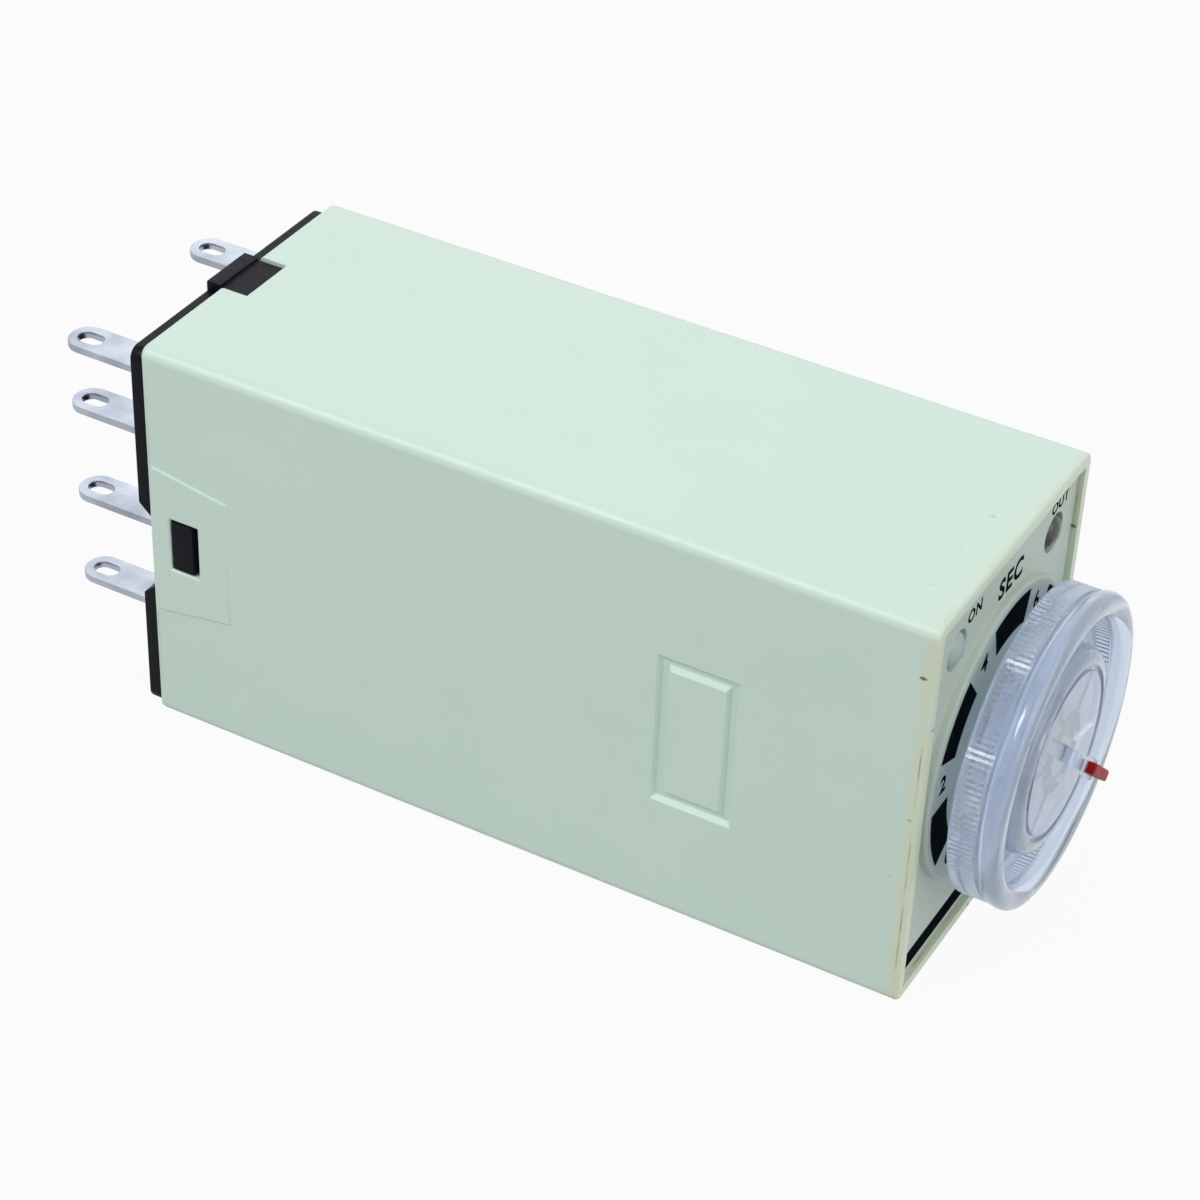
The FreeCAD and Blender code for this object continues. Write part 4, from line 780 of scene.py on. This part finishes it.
def make_hinge_leaf():
    """The L-shaped leaf on the yoke, with half its length drawn out in equal pieces."""
    xs, ys, zs = span("hinge_spring")
    bend = xs[0] + LEAF
    top = zs[0] + LEAF
    leaf = block("hinge_leaf", (xs[0], bend), ys, (zs[0], top))
    pick(leaf, "FACE", lambda face: all(near(z, top) for x, y, z in spots(face)))
    extrude(0, 0, zs[1] - top)
    close_edit()
    pick(leaf, "FACE", lambda face: near(middle(face)[0], bend) and middle(face)[2] < top)
    for _ in range(BENDS):
        extrude((xs[1] - bend) / BENDS)
    close_edit()
    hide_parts("hinge_spring")
    return leaf, place((bend + xs[1]) / 2, 0, zs[0]), place(bend, 0, zs[0])


def make_leads():
    """The braids that lie on the common blades and stand up to the moving springs, the upright part drawn out
    in equal pieces.
    """
    xs, ys, zs = span("common_leads")
    rise = xs[1] - LEAD
    top = zs[0] + LEAD
    leads = []
    for sign in (-1, 1):
        lead = block("braid_leads", (xs[0], rise), (sign * (ys[1] - LEAD), sign * ys[1]), (zs[0], top))
        pick(lead, "FACE", lambda face: near(middle(face)[0], rise))
        extrude(LEAD)
        close_edit()
        pick(lead, "FACE", lambda face: near(middle(face)[2], top) and middle(face)[0] > rise)
        for _ in range(BENDS):
            extrude(0, 0, (zs[1] - top) / BENDS)
        close_edit()
        leads.append(lead)
    braid = joined(leads)
    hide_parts("common_leads")
    return braid, place(xs[1], 0, zs[0]), place(xs[1], 0, zs[1])


# Print: the scale runs clockwise from its start, in degrees, and a word has its size and place
SCALE_INNER = 7.05
SCALE_OUTER = 9.2
SCALE_START = 225.0
SCALE_SWEEP = 270.0
SCALE_NUMBERS = ["0", "2", "4", "6", "8", "10"]
SCALE_STEP = SCALE_SWEEP / (len(SCALE_NUMBERS) - 1)
NUMBER_ROOM = 11.0
NUMBER_SIZE = 1.7
TICK = (7.5, 9.5)
TICK_LENGTH = 0.7
ARC_STEPS = 360
WORDS = (("ON", 1.2, -4.7, 25.5), ("OUT", 1.1, 7.3, 26.0), ("SEC", 1.95, 0.5, 24.6))
BAR_HALF = 9.1
BAR_HEIGHTS = (1.4, 2.6)
INK = 0.02
BOLD = 0.03
CURVE_STEPS = 4


def lettering(text, size, x, y, z):
    """Printed characters that face the front, centred on a place, as a thin mesh."""
    bpy.ops.object.select_all(action="DESELECT")
    bpy.ops.object.text_add()
    words = bpy.context.active_object
    words.data.body = text
    words.data.size = size * MM
    words.data.align_x = "CENTER"
    words.data.align_y = "CENTER"
    words.data.resolution_u = CURVE_STEPS
    words.data.extrude = INK / 2 * MM
    words.data.offset = BOLD * size * MM
    words.data.space_character = 1.0 + 4 * BOLD
    bpy.ops.object.convert(target="MESH")
    words = bpy.context.active_object
    upright = Matrix(((0, 0, 1, 0), (1, 0, 0, 0), (0, 1, 0, 0), (0, 0, 0, 1)))
    words.matrix_world = Matrix.Translation(place(x, y, z)) @ upright
    return finish_start("lettering")


def scale_arc(name, inner, outer, kept):
    """A flat printed band on the table, with the faces dropped whose angle a test doesn't keep."""
    bpy.ops.object.select_all(action="DESELECT")
    bpy.ops.mesh.primitive_circle_add(
        vertices=ARC_STEPS,
        radius=inner * MM,
        fill_type="NOTHING",
        location=place(TABLE_FACE, 0, AXIS),
        rotation=(0, math.pi / 2, 0),
    )
    band = finish_start(name)
    bpy.ops.object.mode_set(mode="EDIT")
    bpy.ops.mesh.select_all(action="SELECT")
    extrude(0)
    ratio = outer / inner
    bpy.ops.transform.resize(value=(1, ratio, ratio), center_override=place(TABLE_FACE, 0, AXIS))
    close_edit()

    def dropped(face):
        y, z = middle(face)[1:]
        return not kept(math.degrees(math.atan2(z - AXIS, y)))

    pick(band, "FACE", dropped)
    bpy.ops.mesh.delete(type="FACE")
    bpy.ops.mesh.select_all(action="SELECT")
    extrude(INK)
    bpy.ops.mesh.select_all(action="SELECT")
    bpy.ops.mesh.normals_make_consistent(inside=False)
    close_edit()
    return band


def along_scale(angle):
    """How many degrees past the scale's start an angle is, going clockwise."""
    return (SCALE_START - angle) % 360


def to_number(angle):
    """How many degrees an angle on the scale is from the nearest number."""
    return abs((along_scale(angle) + SCALE_STEP / 2) % SCALE_STEP - SCALE_STEP / 2)


def make_print():
    """The thin layer of ink on the table and the plate, as one piece."""

    def in_band(angle):
        return along_scale(angle) < SCALE_SWEEP and to_number(angle) > NUMBER_ROOM

    def in_tick(angle):
        return along_scale(angle) < SCALE_SWEEP and TICK[0] < to_number(angle) < TICK[1]

    printed = [scale_arc("scale_print", SCALE_INNER, SCALE_OUTER, in_band)]
    printed.append(scale_arc("ticks", SCALE_OUTER - TICK_LENGTH, SCALE_OUTER, in_tick))
    radius = (SCALE_INNER + SCALE_OUTER) / 2
    for count, number in enumerate(SCALE_NUMBERS):
        angle = math.radians(SCALE_START - count * SCALE_STEP)
        y = radius * math.cos(angle)
        z = AXIS + radius * math.sin(angle)
        printed.append(lettering(number, NUMBER_SIZE, TABLE_FACE, y, z))
    printed += [lettering(word, size, PLATE_FACE, y, z) for word, size, y, z in WORDS]
    printed.append(block("bar", (PLATE_FACE, PLATE_FACE + INK), (-BAR_HALF, BAR_HALF), BAR_HEIGHTS))
    return joined(printed)


# Materials: which output of a Mix node is its colour, the sockets of a Map Range node, where most of a noise
# lies, how large the clouds of tone are in plastic and on metal, and how strongly grain and streaks stand out
COLOUR = 2
RANGE = ("From Min", "From Max", "To Min", "To Max")
NOISE = (0.3, 0.7)
FLOW = 9.0
TARNISH = 3.0
GRAIN_STRENGTH = 0.4
STREAK_STRENGTH = 0.3

# The housing's surface and its ageing: where along X it yellows and has specks, the size of the patches, which
# part of a noise makes them and how much they take on, and the specks' cells, radii (as shares) and rarity
HOUSING_SHEEN = (0.38, 0.46)
HOUSING_GRAIN = 0.8
HOUSING_RELIEF = 0.0015
AGED = (52.7, 53.5)
AGED_PATCH = 4.0
AGED_NOISE = (0.3, 0.6)
AGED_SHARE = (0.3, 0.65)
AGED_TOP = 0.3
DIRT_LINE = 53.5
DIRT_HALF = 0.05
DIRT_NOISE = (0.48, 0.62)
DIRT_SHARE = 0.55
SPECKED = (51.2, 52.4)
SPECK_STRETCH = 0.5
SPECK_CORE = 0.5
EDGE_SPECKS = (1.2, 0.13, 0.15)
LOOSE_SPECKS = (8.0, 0.022, 0.6)


def linear(code):
    """A colour from its sRGB hex code to linear light."""
    parts = [int(code[i : i + 2], 16) / 255 for i in (0, 2, 4)]
    return [p / 12.92 if p <= 0.04045 else ((p + 0.055) / 1.055) ** 2.4 for p in parts] + [1]


def add(tree, kind, inputs=None, **settings):
    """Adds a node with its settings. An input is a value or another node's output."""
    item = tree.nodes.new(kind)
    for name, value in settings.items():
        setattr(item, name, value)
    sockets = {socket.identifier: socket for socket in item.inputs}
    for name, value in (inputs or {}).items():
        if isinstance(value, bpy.types.NodeSocket):
            tree.links.new(value, sockets[name])
        else:
            sockets[name].default_value = value
    return item


def start_material(name, sockets):
    """A new material: its node tree, its shader with constants on its sockets, and the object coordinates."""
    material = bpy.data.materials.new(name)
    material.use_nodes = True
    tree = material.node_tree
    tree.nodes.clear()
    shader = add(tree, "ShaderNodeBsdfPrincipled")
    for socket, value in sockets.items():
        shader.inputs[socket.replace("_", " ")].default_value = value
    add(tree, "ShaderNodeOutputMaterial", {"Surface": shader.outputs["BSDF"]})
    spot = add(tree, "ShaderNodeTexCoord").outputs["Object"]
    return material, tree, shader, spot


def surface(tree, shader, clouds, pattern, colours, roughness, strength, relief):
    """Two colours mixed by one noise, with roughness and relief from another."""
    mix = {"Factor_Float": clouds, "A_Color": linear(colours[1]), "B_Color": linear(colours[0])}
    tone = add(tree, "ShaderNodeMix", mix, data_type="RGBA")
    spread = dict(zip(RANGE, (*NOISE, *roughness)))
    sheen = add(tree, "ShaderNodeMapRange", {"Value": pattern, **spread})
    bump = add(tree, "ShaderNodeBump", {"Height": pattern, "Strength": strength, "Distance": relief * MM})
    tree.links.new(tone.outputs[COLOUR], shader.inputs["Base Color"])
    tree.links.new(sheen.outputs["Result"], shader.inputs["Roughness"])
    tree.links.new(bump.outputs["Normal"], shader.inputs["Normal"])


def moulded(name, colour, shaded, roughness, grain, relief, **sockets):
    """Moulded plastic: a grain of that size in millimetres, and slow drifts of tone from the flow."""
    material, tree, shader, spot = start_material(name, sockets)
    # Real grain is about 0.03 mm, too fine to show here, so it is drawn coarser
    drift = add(tree, "ShaderNodeTexNoise", {"Vector": spot, "Scale": 1 / (FLOW * MM), "Detail": 3})
    grit = add(tree, "ShaderNodeTexNoise", {"Vector": spot, "Scale": 1 / (grain * MM), "Detail": 2})
    clouds, pattern = drift.outputs["Fac"], grit.outputs["Fac"]
    surface(tree, shader, clouds, pattern, (colour, shaded), roughness, GRAIN_STRENGTH, relief)
    return material


def aged_housing(name, colour, shaded, yellowed, stain):
    """Moulded ABS that has yellowed along its front edge, with brown specks there and a few dots elsewhere."""
    material = moulded(name, colour, shaded, HOUSING_SHEEN, HOUSING_GRAIN, HOUSING_RELIEF)
    tree = material.node_tree
    shader = next(node for node in tree.nodes if node.type == "BSDF_PRINCIPLED")
    spot = next(node for node in tree.nodes if node.type == "TEX_COORD").outputs["Object"]
    tone = shader.inputs["Base Color"].links[0].from_socket

    # How far towards the front edge a point is
    apart = add(tree, "ShaderNodeSeparateXYZ", {"Vector": spot}).outputs
    edge = dict(zip(RANGE, (REAR + x * MM for x in AGED)))
    front = add(tree, "ShaderNodeMapRange", {"Value": apart["X"], **edge}).outputs["Result"]
    top = dict(zip(RANGE, ((HEIGHT - LONG_EDGE) * MM, HEIGHT * MM, 1.0, AGED_TOP)))
    sides = add(tree, "ShaderNodeMapRange", {"Value": apart["Z"], **top}).outputs["Result"]
    both = {"Value": front, "Value_001": sides}
    front = add(tree, "ShaderNodeMath", both, operation="MULTIPLY").outputs["Value"]
    noise = {"Vector": spot, "Scale": 1 / (AGED_PATCH * MM), "Detail": 3}
    patches = add(tree, "ShaderNodeTexNoise", noise).outputs["Fac"]
    spread = dict(zip(RANGE, (*AGED_NOISE, *AGED_SHARE)))
    share = add(tree, "ShaderNodeMapRange", {"Value": patches, **spread}).outputs["Result"]
    aged = add(tree, "ShaderNodeMath", {"Value": front, "Value_001": share}, operation="MULTIPLY")
    mix = {"Factor_Float": aged.outputs["Value"], "A_Color": tone, "B_Color": linear(yellowed)}
    tone = add(tree, "ShaderNodeMix", mix, data_type="RGBA").outputs[COLOUR]

    # Dirt in patches along the line where the side meets the rounded front edge
    line = {"Value": apart["X"], "Value_001": REAR + DIRT_LINE * MM, "Value_002": DIRT_HALF * MM}
    line = add(tree, "ShaderNodeMath", line, operation="COMPARE").outputs["Value"]
    spread = dict(zip(RANGE, (*DIRT_NOISE, 0.0, DIRT_SHARE)))
    held = add(tree, "ShaderNodeMapRange", {"Value": patches, **spread}).outputs["Result"]
    both = {"Value": line, "Value_001": front}
    line = add(tree, "ShaderNodeMath", both, operation="MULTIPLY").outputs["Value"]
    dirt = add(tree, "ShaderNodeMath", {"Value": line, "Value_001": held}, operation="MULTIPLY")
    mix = {"Factor_Float": dirt.outputs["Value"], "A_Color": tone, "B_Color": linear(stain)}
    tone = add(tree, "ShaderNodeMix", mix, data_type="RGBA").outputs[COLOUR]

    # Specks: a dash in some of the cells of a pattern with cells of this size in millimetres
    reach = dict(zip(RANGE, (REAR + x * MM for x in SPECKED)))
    by_edge = add(tree, "ShaderNodeMapRange", {"Value": apart["X"], **reach}).outputs["Result"]
    drawn = add(tree, "ShaderNodeMapping", {"Vector": spot, "Scale": (SPECK_STRETCH, 1, 1)}).outputs["Vector"]
    for cell, radius, rarity, where in ((*EDGE_SPECKS, by_edge), (*LOOSE_SPECKS, None)):
        cells = add(tree, "ShaderNodeTexVoronoi", {"Vector": drawn, "Scale": 1 / (cell * MM)})
        spread = dict(zip(RANGE, (SPECK_CORE * radius, radius, 1.0, 0.0)))
        dot = add(tree, "ShaderNodeMapRange", {"Value": cells.outputs["Distance"], **spread}).outputs["Result"]
        chance = add(tree, "ShaderNodeSeparateColor", {"Color": cells.outputs["Color"]}).outputs["Red"]
        chosen = add(tree, "ShaderNodeMath", {"Value": chance, "Value_001": rarity}, operation="GREATER_THAN")
        both = {"Value": dot, "Value_001": chosen.outputs["Value"]}
        dot = add(tree, "ShaderNodeMath", both, operation="MULTIPLY").outputs["Value"]
        if where:
            both = {"Value": dot, "Value_001": where}
            dot = add(tree, "ShaderNodeMath", both, operation="MULTIPLY").outputs["Value"]
        mix = {"Factor_Float": dot, "A_Color": tone, "B_Color": linear(stain)}
        tone = add(tree, "ShaderNodeMix", mix, data_type="RGBA").outputs[COLOUR]
    tree.links.new(tone, shader.inputs["Base Color"])
    return material


def metal(name, colour, dull, roughness, streak, relief=0.01):
    """Worked metal: streaks of the given (x, y, z) sizes in millimetres along the way it was drawn."""
    material, tree, shader, spot = start_material(name, {"Metallic": 1.0})
    # Real rolling lines are about 0.02 mm apart, too fine to show here, so they are drawn coarser
    stretched = add(tree, "ShaderNodeMapping", {"Vector": spot, "Scale": [1 / (size * MM) for size in streak]})
    lines = add(tree, "ShaderNodeTexNoise", {"Vector": stretched.outputs["Vector"], "Scale": 1.0, "Detail": 4})
    stain = add(tree, "ShaderNodeTexNoise", {"Vector": spot, "Scale": 1 / (TARNISH * MM), "Detail": 4})
    clouds, pattern = stain.outputs["Fac"], lines.outputs["Fac"]
    surface(tree, shader, clouds, pattern, (colour, dull), roughness, STREAK_STRENGTH, relief)
    return material


def dress(piece, material):
    """Gives a piece one material all over."""
    if piece.material_slots:
        for spot in piece.material_slots:
            spot.material = material
    else:
        piece.data.materials.append(material)


def make_materials():
    return {
        # ABS moulded in a smooth tool: an even satin with soft, broad highlights along the edges. Light has
        # yellowed its front edge, and brown dirt sits there.
        "housing_plastic": aged_housing("abs_moulded_mint", "d7ece1", "d0e7da", "dfdfb8", "7a6238"),
        # PBT moulded with black pigment: near black, with only a faint dull sheen
        "base_plastic": moulded(
            "pbt_moulded_black", "0b111a", "070b12", (0.35, 0.5), 0.3, 0.006, Specular_IOR_Level=0.09
        ),
        # Brass strip, rolled and tin plated: cool and bright, a little cloudy, with lines along its length
        "blade_metal": metal("brass_tin_plated", "d0d6e0", "687284", (0.26, 0.36), (2.0, 0.12, 0.12), 0.0015),
        # ABS moulded for printing: flatter and greyer than the housing
        "plate_plastic": moulded("abs_moulded_plate", "c3d0c6", "bac8bd", (0.42, 0.55), 0.3, 0.01),
        # Acrylic moulded clear: see-through, with a faint blue cast and a little haze from handling
        "clear_plastic": moulded(
            "acrylic_moulded_clear", "e6f0ff", "dae7fb", (0.09, 0.18), 1.2, 0.0,
            Transmission_Weight=0.78, IOR=1.49,
        ),
        # Acrylic moulded red right through: a deep colour with a soft sheen
        "red_plastic": moulded(
            "acrylic_moulded_red", "a10019", "8a0013", (0.4, 0.55), 0.4, 0.01, Specular_IOR_Level=0.2
        ),
        # Epoxy cast in a polished cup: a glossy milky bead, unlit
        "power_lens": moulded("epoxy_cast_green", "b2c4be", "a2b6af", (0.1, 0.2), 0.6, 0.005),
        # Epoxy cast dark in a polished cup: a glossy smoky bead, unlit
        "output_lens": moulded("epoxy_cast_dark", "4a4f45", "3f443c", (0.1, 0.2), 0.6, 0.005),
        # Nylon moulded with slate pigment: dry and slightly grained
        "pot_plastic": moulded("nylon_moulded_slate", "2a3038", "232830", (0.4, 0.55), 0.3, 0.01),
        # Acetal moulded white: waxy and even
        "rotor_plastic": moulded("acetal_moulded_white", "e6e6e0", "dcdcd4", (0.35, 0.5), 0.3, 0.01),
        # Phenolic paper pressed into sheet: brown, clouded, dull
        "phenolic": moulded("phenolic_laminate_pressed", "7d5430", "6a4526", (0.4, 0.6), 0.2, 0.01),
        # Glass and epoxy laminate under a printed mask: green with an uneven gloss
        "board_laminate": moulded("glass_epoxy_masked", "2f6b3d", "285d35", (0.25, 0.4), 0.5, 0.015),
        # Brass wire, drawn and tinned: bright grey with lines along the pins
        "pin_metal": metal("brass_wire_tinned", "cfd1d4", "b4b8bc", (0.25, 0.4), (0.2, 0.2, 2.0)),
        # PVC sleeve shrunk on a can: dark blue, smooth and fairly glossy
        "capacitor_sleeve": moulded("pvc_sleeve_shrunk", "1c2348", "171d3c", (0.2, 0.35), 0.6, 0.01),
        # Epoxy dipped and cured: glossy red brown with a lumpy skin
        "film_case": moulded("epoxy_dipped_brown", "a5482a", "903c22", (0.15, 0.3), 0.9, 0.02),
        # Filled epoxy moulded round the chip: black, matt and finely grained
        "chip_epoxy": moulded("epoxy_moulded_black", "1c1c1c", "151515", (0.45, 0.6), 0.2, 0.015),
        # Lacquer dipped on a ceramic rod: tan, with a soft gloss
        "resistor_lacquer": moulded("lacquer_dipped_tan", "d0b88a", "c1a878", (0.25, 0.4), 0.6, 0.01),
        # Soft iron, punched and zinc plated: pale grey, with a dull shine and faint lines
        "soft_iron": metal("soft_iron_zinc_plated", "b9bab6", "9c9e9a", (0.3, 0.5), (0.3, 0.3, 2.0)),
        # Nylon moulded dark: dry and even
        "bobbin_plastic": moulded("nylon_moulded_dark", "36373a", "2c2d30", (0.4, 0.55), 0.3, 0.01),
        # Copper wire, enamelled and wound: warm and glossy, with lines round the coil
        "coil_copper": metal("copper_wire_enamelled", "b8673a", "9c5129", (0.2, 0.35), (0.12, 3.0, 3.0)),
        # Phenolic moulded: dark brown and dry
        "carrier_plastic": moulded("phenolic_moulded_brown", "4b3424", "3e2a1c", (0.4, 0.55), 0.3, 0.01),
        # Bronze strip, rolled: golden, with lines along the roll
        "spring_bronze": metal("bronze_strip_rolled", "c99a63", "b0844f", (0.22, 0.36), (2.0, 0.1, 0.1)),
        # Silver alloy pressed into buttons: white metal, slightly tarnished
        "contact_silver": metal("silver_alloy_pressed", "dcdcd8", "c2c2bc", (0.25, 0.4), (0.4, 0.4, 0.4)),
        # Copper braid, woven: warm, with dark gaps between the strands
        "lead_copper": metal("copper_braid_woven", "c4764a", "9d5a34", (0.3, 0.5), (0.25, 0.1, 0.25)),
        # PVC drawn over wire: blue, smooth, half glossy
        "wire_insulation": moulded("pvc_insulation_drawn", "232b78", "1c2362", (0.3, 0.45), 0.5, 0.01),
        # Ink pushed through a screen: matt black, slightly uneven
        "ink": moulded(
            "ink_screen_printed", "0f1418", "191e22", (0.5, 0.7), 0.15, 0.004, Specular_IOR_Level=0.0
        ),
    }


def build_pieces(materials):
    housing = make_housing()
    base = make_base()
    plate = make_face_plate()
    dial = make_dial()
    pointer = make_pointer()
    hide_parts("housing")
    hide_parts("base")
    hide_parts("front_plate")
    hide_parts("dial")
    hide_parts("pointer")
    print_layer = make_print()
    finishes = [
        (housing, "housing_plastic", "case"),
        (base, "base_plastic", "case"),
        (plate, "plate_plastic", "case"),
        (dial, "clear_plastic", "setting_dial"),
        (pointer, "red_plastic", "setting_dial"),
        (make_lamp("lamp_power", -1, "power_led"), "power_lens", "case"),
        (make_lamp("lamp_output", 1, "output_led"), "output_lens", "case"),
    ]
    finishes += [(blade, "blade_metal", "case") for blade in make_blades()]
    for piece, finish, body in finishes:
        dress(piece, materials[finish])
        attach(piece, body)
    dress(print_layer, materials["ink"])
    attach(print_layer, "case")
    for (piece, start, end), finish in ((make_hinge_leaf(), "spring_bronze"), (make_leads(), "lead_copper")):
        dress(piece, materials[finish])
        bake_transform(piece)


# The CAD nodes that show as they are, by finish
NODE_FINISHES = {
    "soft_iron": ("armature", "core", "yoke"),
    "bobbin_plastic": ("bobbin",),
    "pin_metal": ("coil_pins", "link_pins"),
    "coil_copper": ("coil_winding",),
    "carrier_plastic": ("contact_carrier",),
    "chip_epoxy": ("driver_transistor", "rectifier_diodes", "timer_chip"),
    "capacitor_sleeve": ("filter_capacitor",),
    "contact_silver": ("fixed_contacts", "moving_contacts"),
    "board_laminate": ("front_board", "timer_board"),
    "spring_bronze": ("moving_spring_left", "moving_spring_right", "pot_wiper"),
    "pot_plastic": ("pot_case",),
    "rotor_plastic": ("pot_rotor",),
    "phenolic": ("pot_wafer",),
    "resistor_lacquer": ("resistors",),
    "wire_insulation": ("supply_wires",),
    "film_case": ("timing_capacitor",),
}


def dress_nodes(materials):
    for finish, names in NODE_FINISHES.items():
        for name in names:
            dress(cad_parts[name], materials[finish])


# Stage: how bright the sky and the floor are
SKY = 0.28
FLOOR_GLOW = 0.94
FLOOR_SIZE = 3
# Lamps: place in metres, size in metres and power in watts
LAMPS = {
    "lamp_over": ((0.05, 0.1, 0.7), 0.6, 0.5),
    "lamp_key": ((-0.34, -0.52, 0.64), 0.28, 3.3),
    "lamp_front": ((0.95, -0.15, 0.6), 1.1, 6.4),
    "lamp_back": ((-0.6, 0.95, 0.6), 1.1, 2.6),
}


def seen_directly(tree):
    """One for rays from the camera, a mirror-like surface or clear plastic, and nought for the rest."""
    path = add(tree, "ShaderNodeLightPath")
    rays = [path.outputs[f"Is {kind} Ray"] for kind in ("Camera", "Glossy", "Transmission")]
    two = add(tree, "ShaderNodeMath", {"Value": rays[0], "Value_001": rays[1]}, operation="ADD")
    three = {"Value": two.outputs["Value"], "Value_001": rays[2]}
    return add(tree, "ShaderNodeMath", three, operation="ADD", use_clamp=True).outputs["Value"]


def make_stage():
    """A white floor that keeps the shadow, a white sky and soft lamps."""
    bpy.ops.object.select_all(action="DESELECT")
    bpy.ops.mesh.primitive_plane_add(size=FLOOR_SIZE)
    floor = finish_start("floor")
    material = bpy.data.materials.new("floor_paper")
    material.use_nodes = True
    tree = material.node_tree
    tree.nodes.clear()
    paper = add(tree, "ShaderNodeBsdfDiffuse", {"Color": linear("b9b9b9")})
    white = add(tree, "ShaderNodeEmission", {"Color": (1, 1, 1, 1), "Strength": 1.0})
    glow = {"Value": seen_directly(tree), "Value_001": FLOOR_GLOW}
    glow = add(tree, "ShaderNodeMath", glow, operation="MULTIPLY").outputs["Value"]
    mix = {"Fac": glow, "Shader": paper.outputs["BSDF"], "Shader_001": white.outputs["Emission"]}
    both = add(tree, "ShaderNodeMixShader", mix)
    add(tree, "ShaderNodeOutputMaterial", {"Surface": both.outputs["Shader"]})
    dress(floor, material)

    world = bpy.data.worlds.new("studio")
    bpy.context.scene.world = world
    world.use_nodes = True
    tree = world.node_tree
    tree.nodes.clear()
    level = add(tree, "ShaderNodeMapRange", {"Value": seen_directly(tree), "To Min": SKY, "To Max": 1.0})
    sky = add(tree, "ShaderNodeBackground", {"Color": (1, 1, 1, 1), "Strength": level.outputs["Result"]})
    add(tree, "ShaderNodeOutputWorld", {"Surface": sky.outputs["Background"]})

    for name, (spot, size, watts) in LAMPS.items():
        light = bpy.data.lights.new(name, "AREA")
        light.shape = "SQUARE"
        light.size = size
        light.energy = watts
        lamp = bpy.data.objects.new(name, light)
        bpy.context.scene.collection.objects.link(lamp)
        lamp.location = spot
        lamp.rotation_euler = (place(*CAMERA_AIM) - Vector(spot)).to_track_quat("-Z", "Y").to_euler()


# Camera: angles in degrees, lengths in millimetres, and shift as a share of the picture
CAMERA_AZIMUTH = 26.92
CAMERA_ELEVATION = 37.35
CAMERA_ROLL = 3.26
CAMERA_DISTANCE = 207.481
CAMERA_SLIDE = (4.354, -4.935)
CAMERA_AIM = (26.0, 0.0, 14.0)
CAMERA_LENS = 99.234
CAMERA_SHIFT = (-0.05, 0.05)
CAMERA_SENSOR = 36
CAMERA_CLIP = 10


def make_camera():
    azimuth, elevation, roll = (math.radians(a) for a in (CAMERA_AZIMUTH, CAMERA_ELEVATION, CAMERA_ROLL))
    back = Vector(
        (math.sin(azimuth) * math.cos(elevation), -math.cos(azimuth) * math.cos(elevation), math.sin(elevation))
    )
    level = Vector((math.cos(azimuth), math.sin(azimuth), 0))
    rise = back.cross(level)
    right = math.cos(roll) * level + math.sin(roll) * rise
    up = math.cos(roll) * rise - math.sin(roll) * level
    aim = place(*CAMERA_AIM) + (CAMERA_SLIDE[0] * right + CAMERA_SLIDE[1] * up) * MM
    data = bpy.data.cameras.new("camera")
    data.lens = CAMERA_LENS
    data.sensor_width = CAMERA_SENSOR
    data.shift_x, data.shift_y = CAMERA_SHIFT
    data.clip_start = CAMERA_CLIP * MM
    camera = bpy.data.objects.new("camera", data)
    bpy.context.scene.collection.objects.link(camera)
    turn = Matrix((right, up, back)).transposed().to_4x4()
    camera.matrix_world = Matrix.Translation(aim + back * CAMERA_DISTANCE * MM) @ turn
    bpy.context.scene.camera = camera


all_materials = make_materials()
build_pieces(all_materials)
dress_nodes(all_materials)
make_stage()
make_camera()
bpy.context.scene.view_settings.view_transform = "Standard"
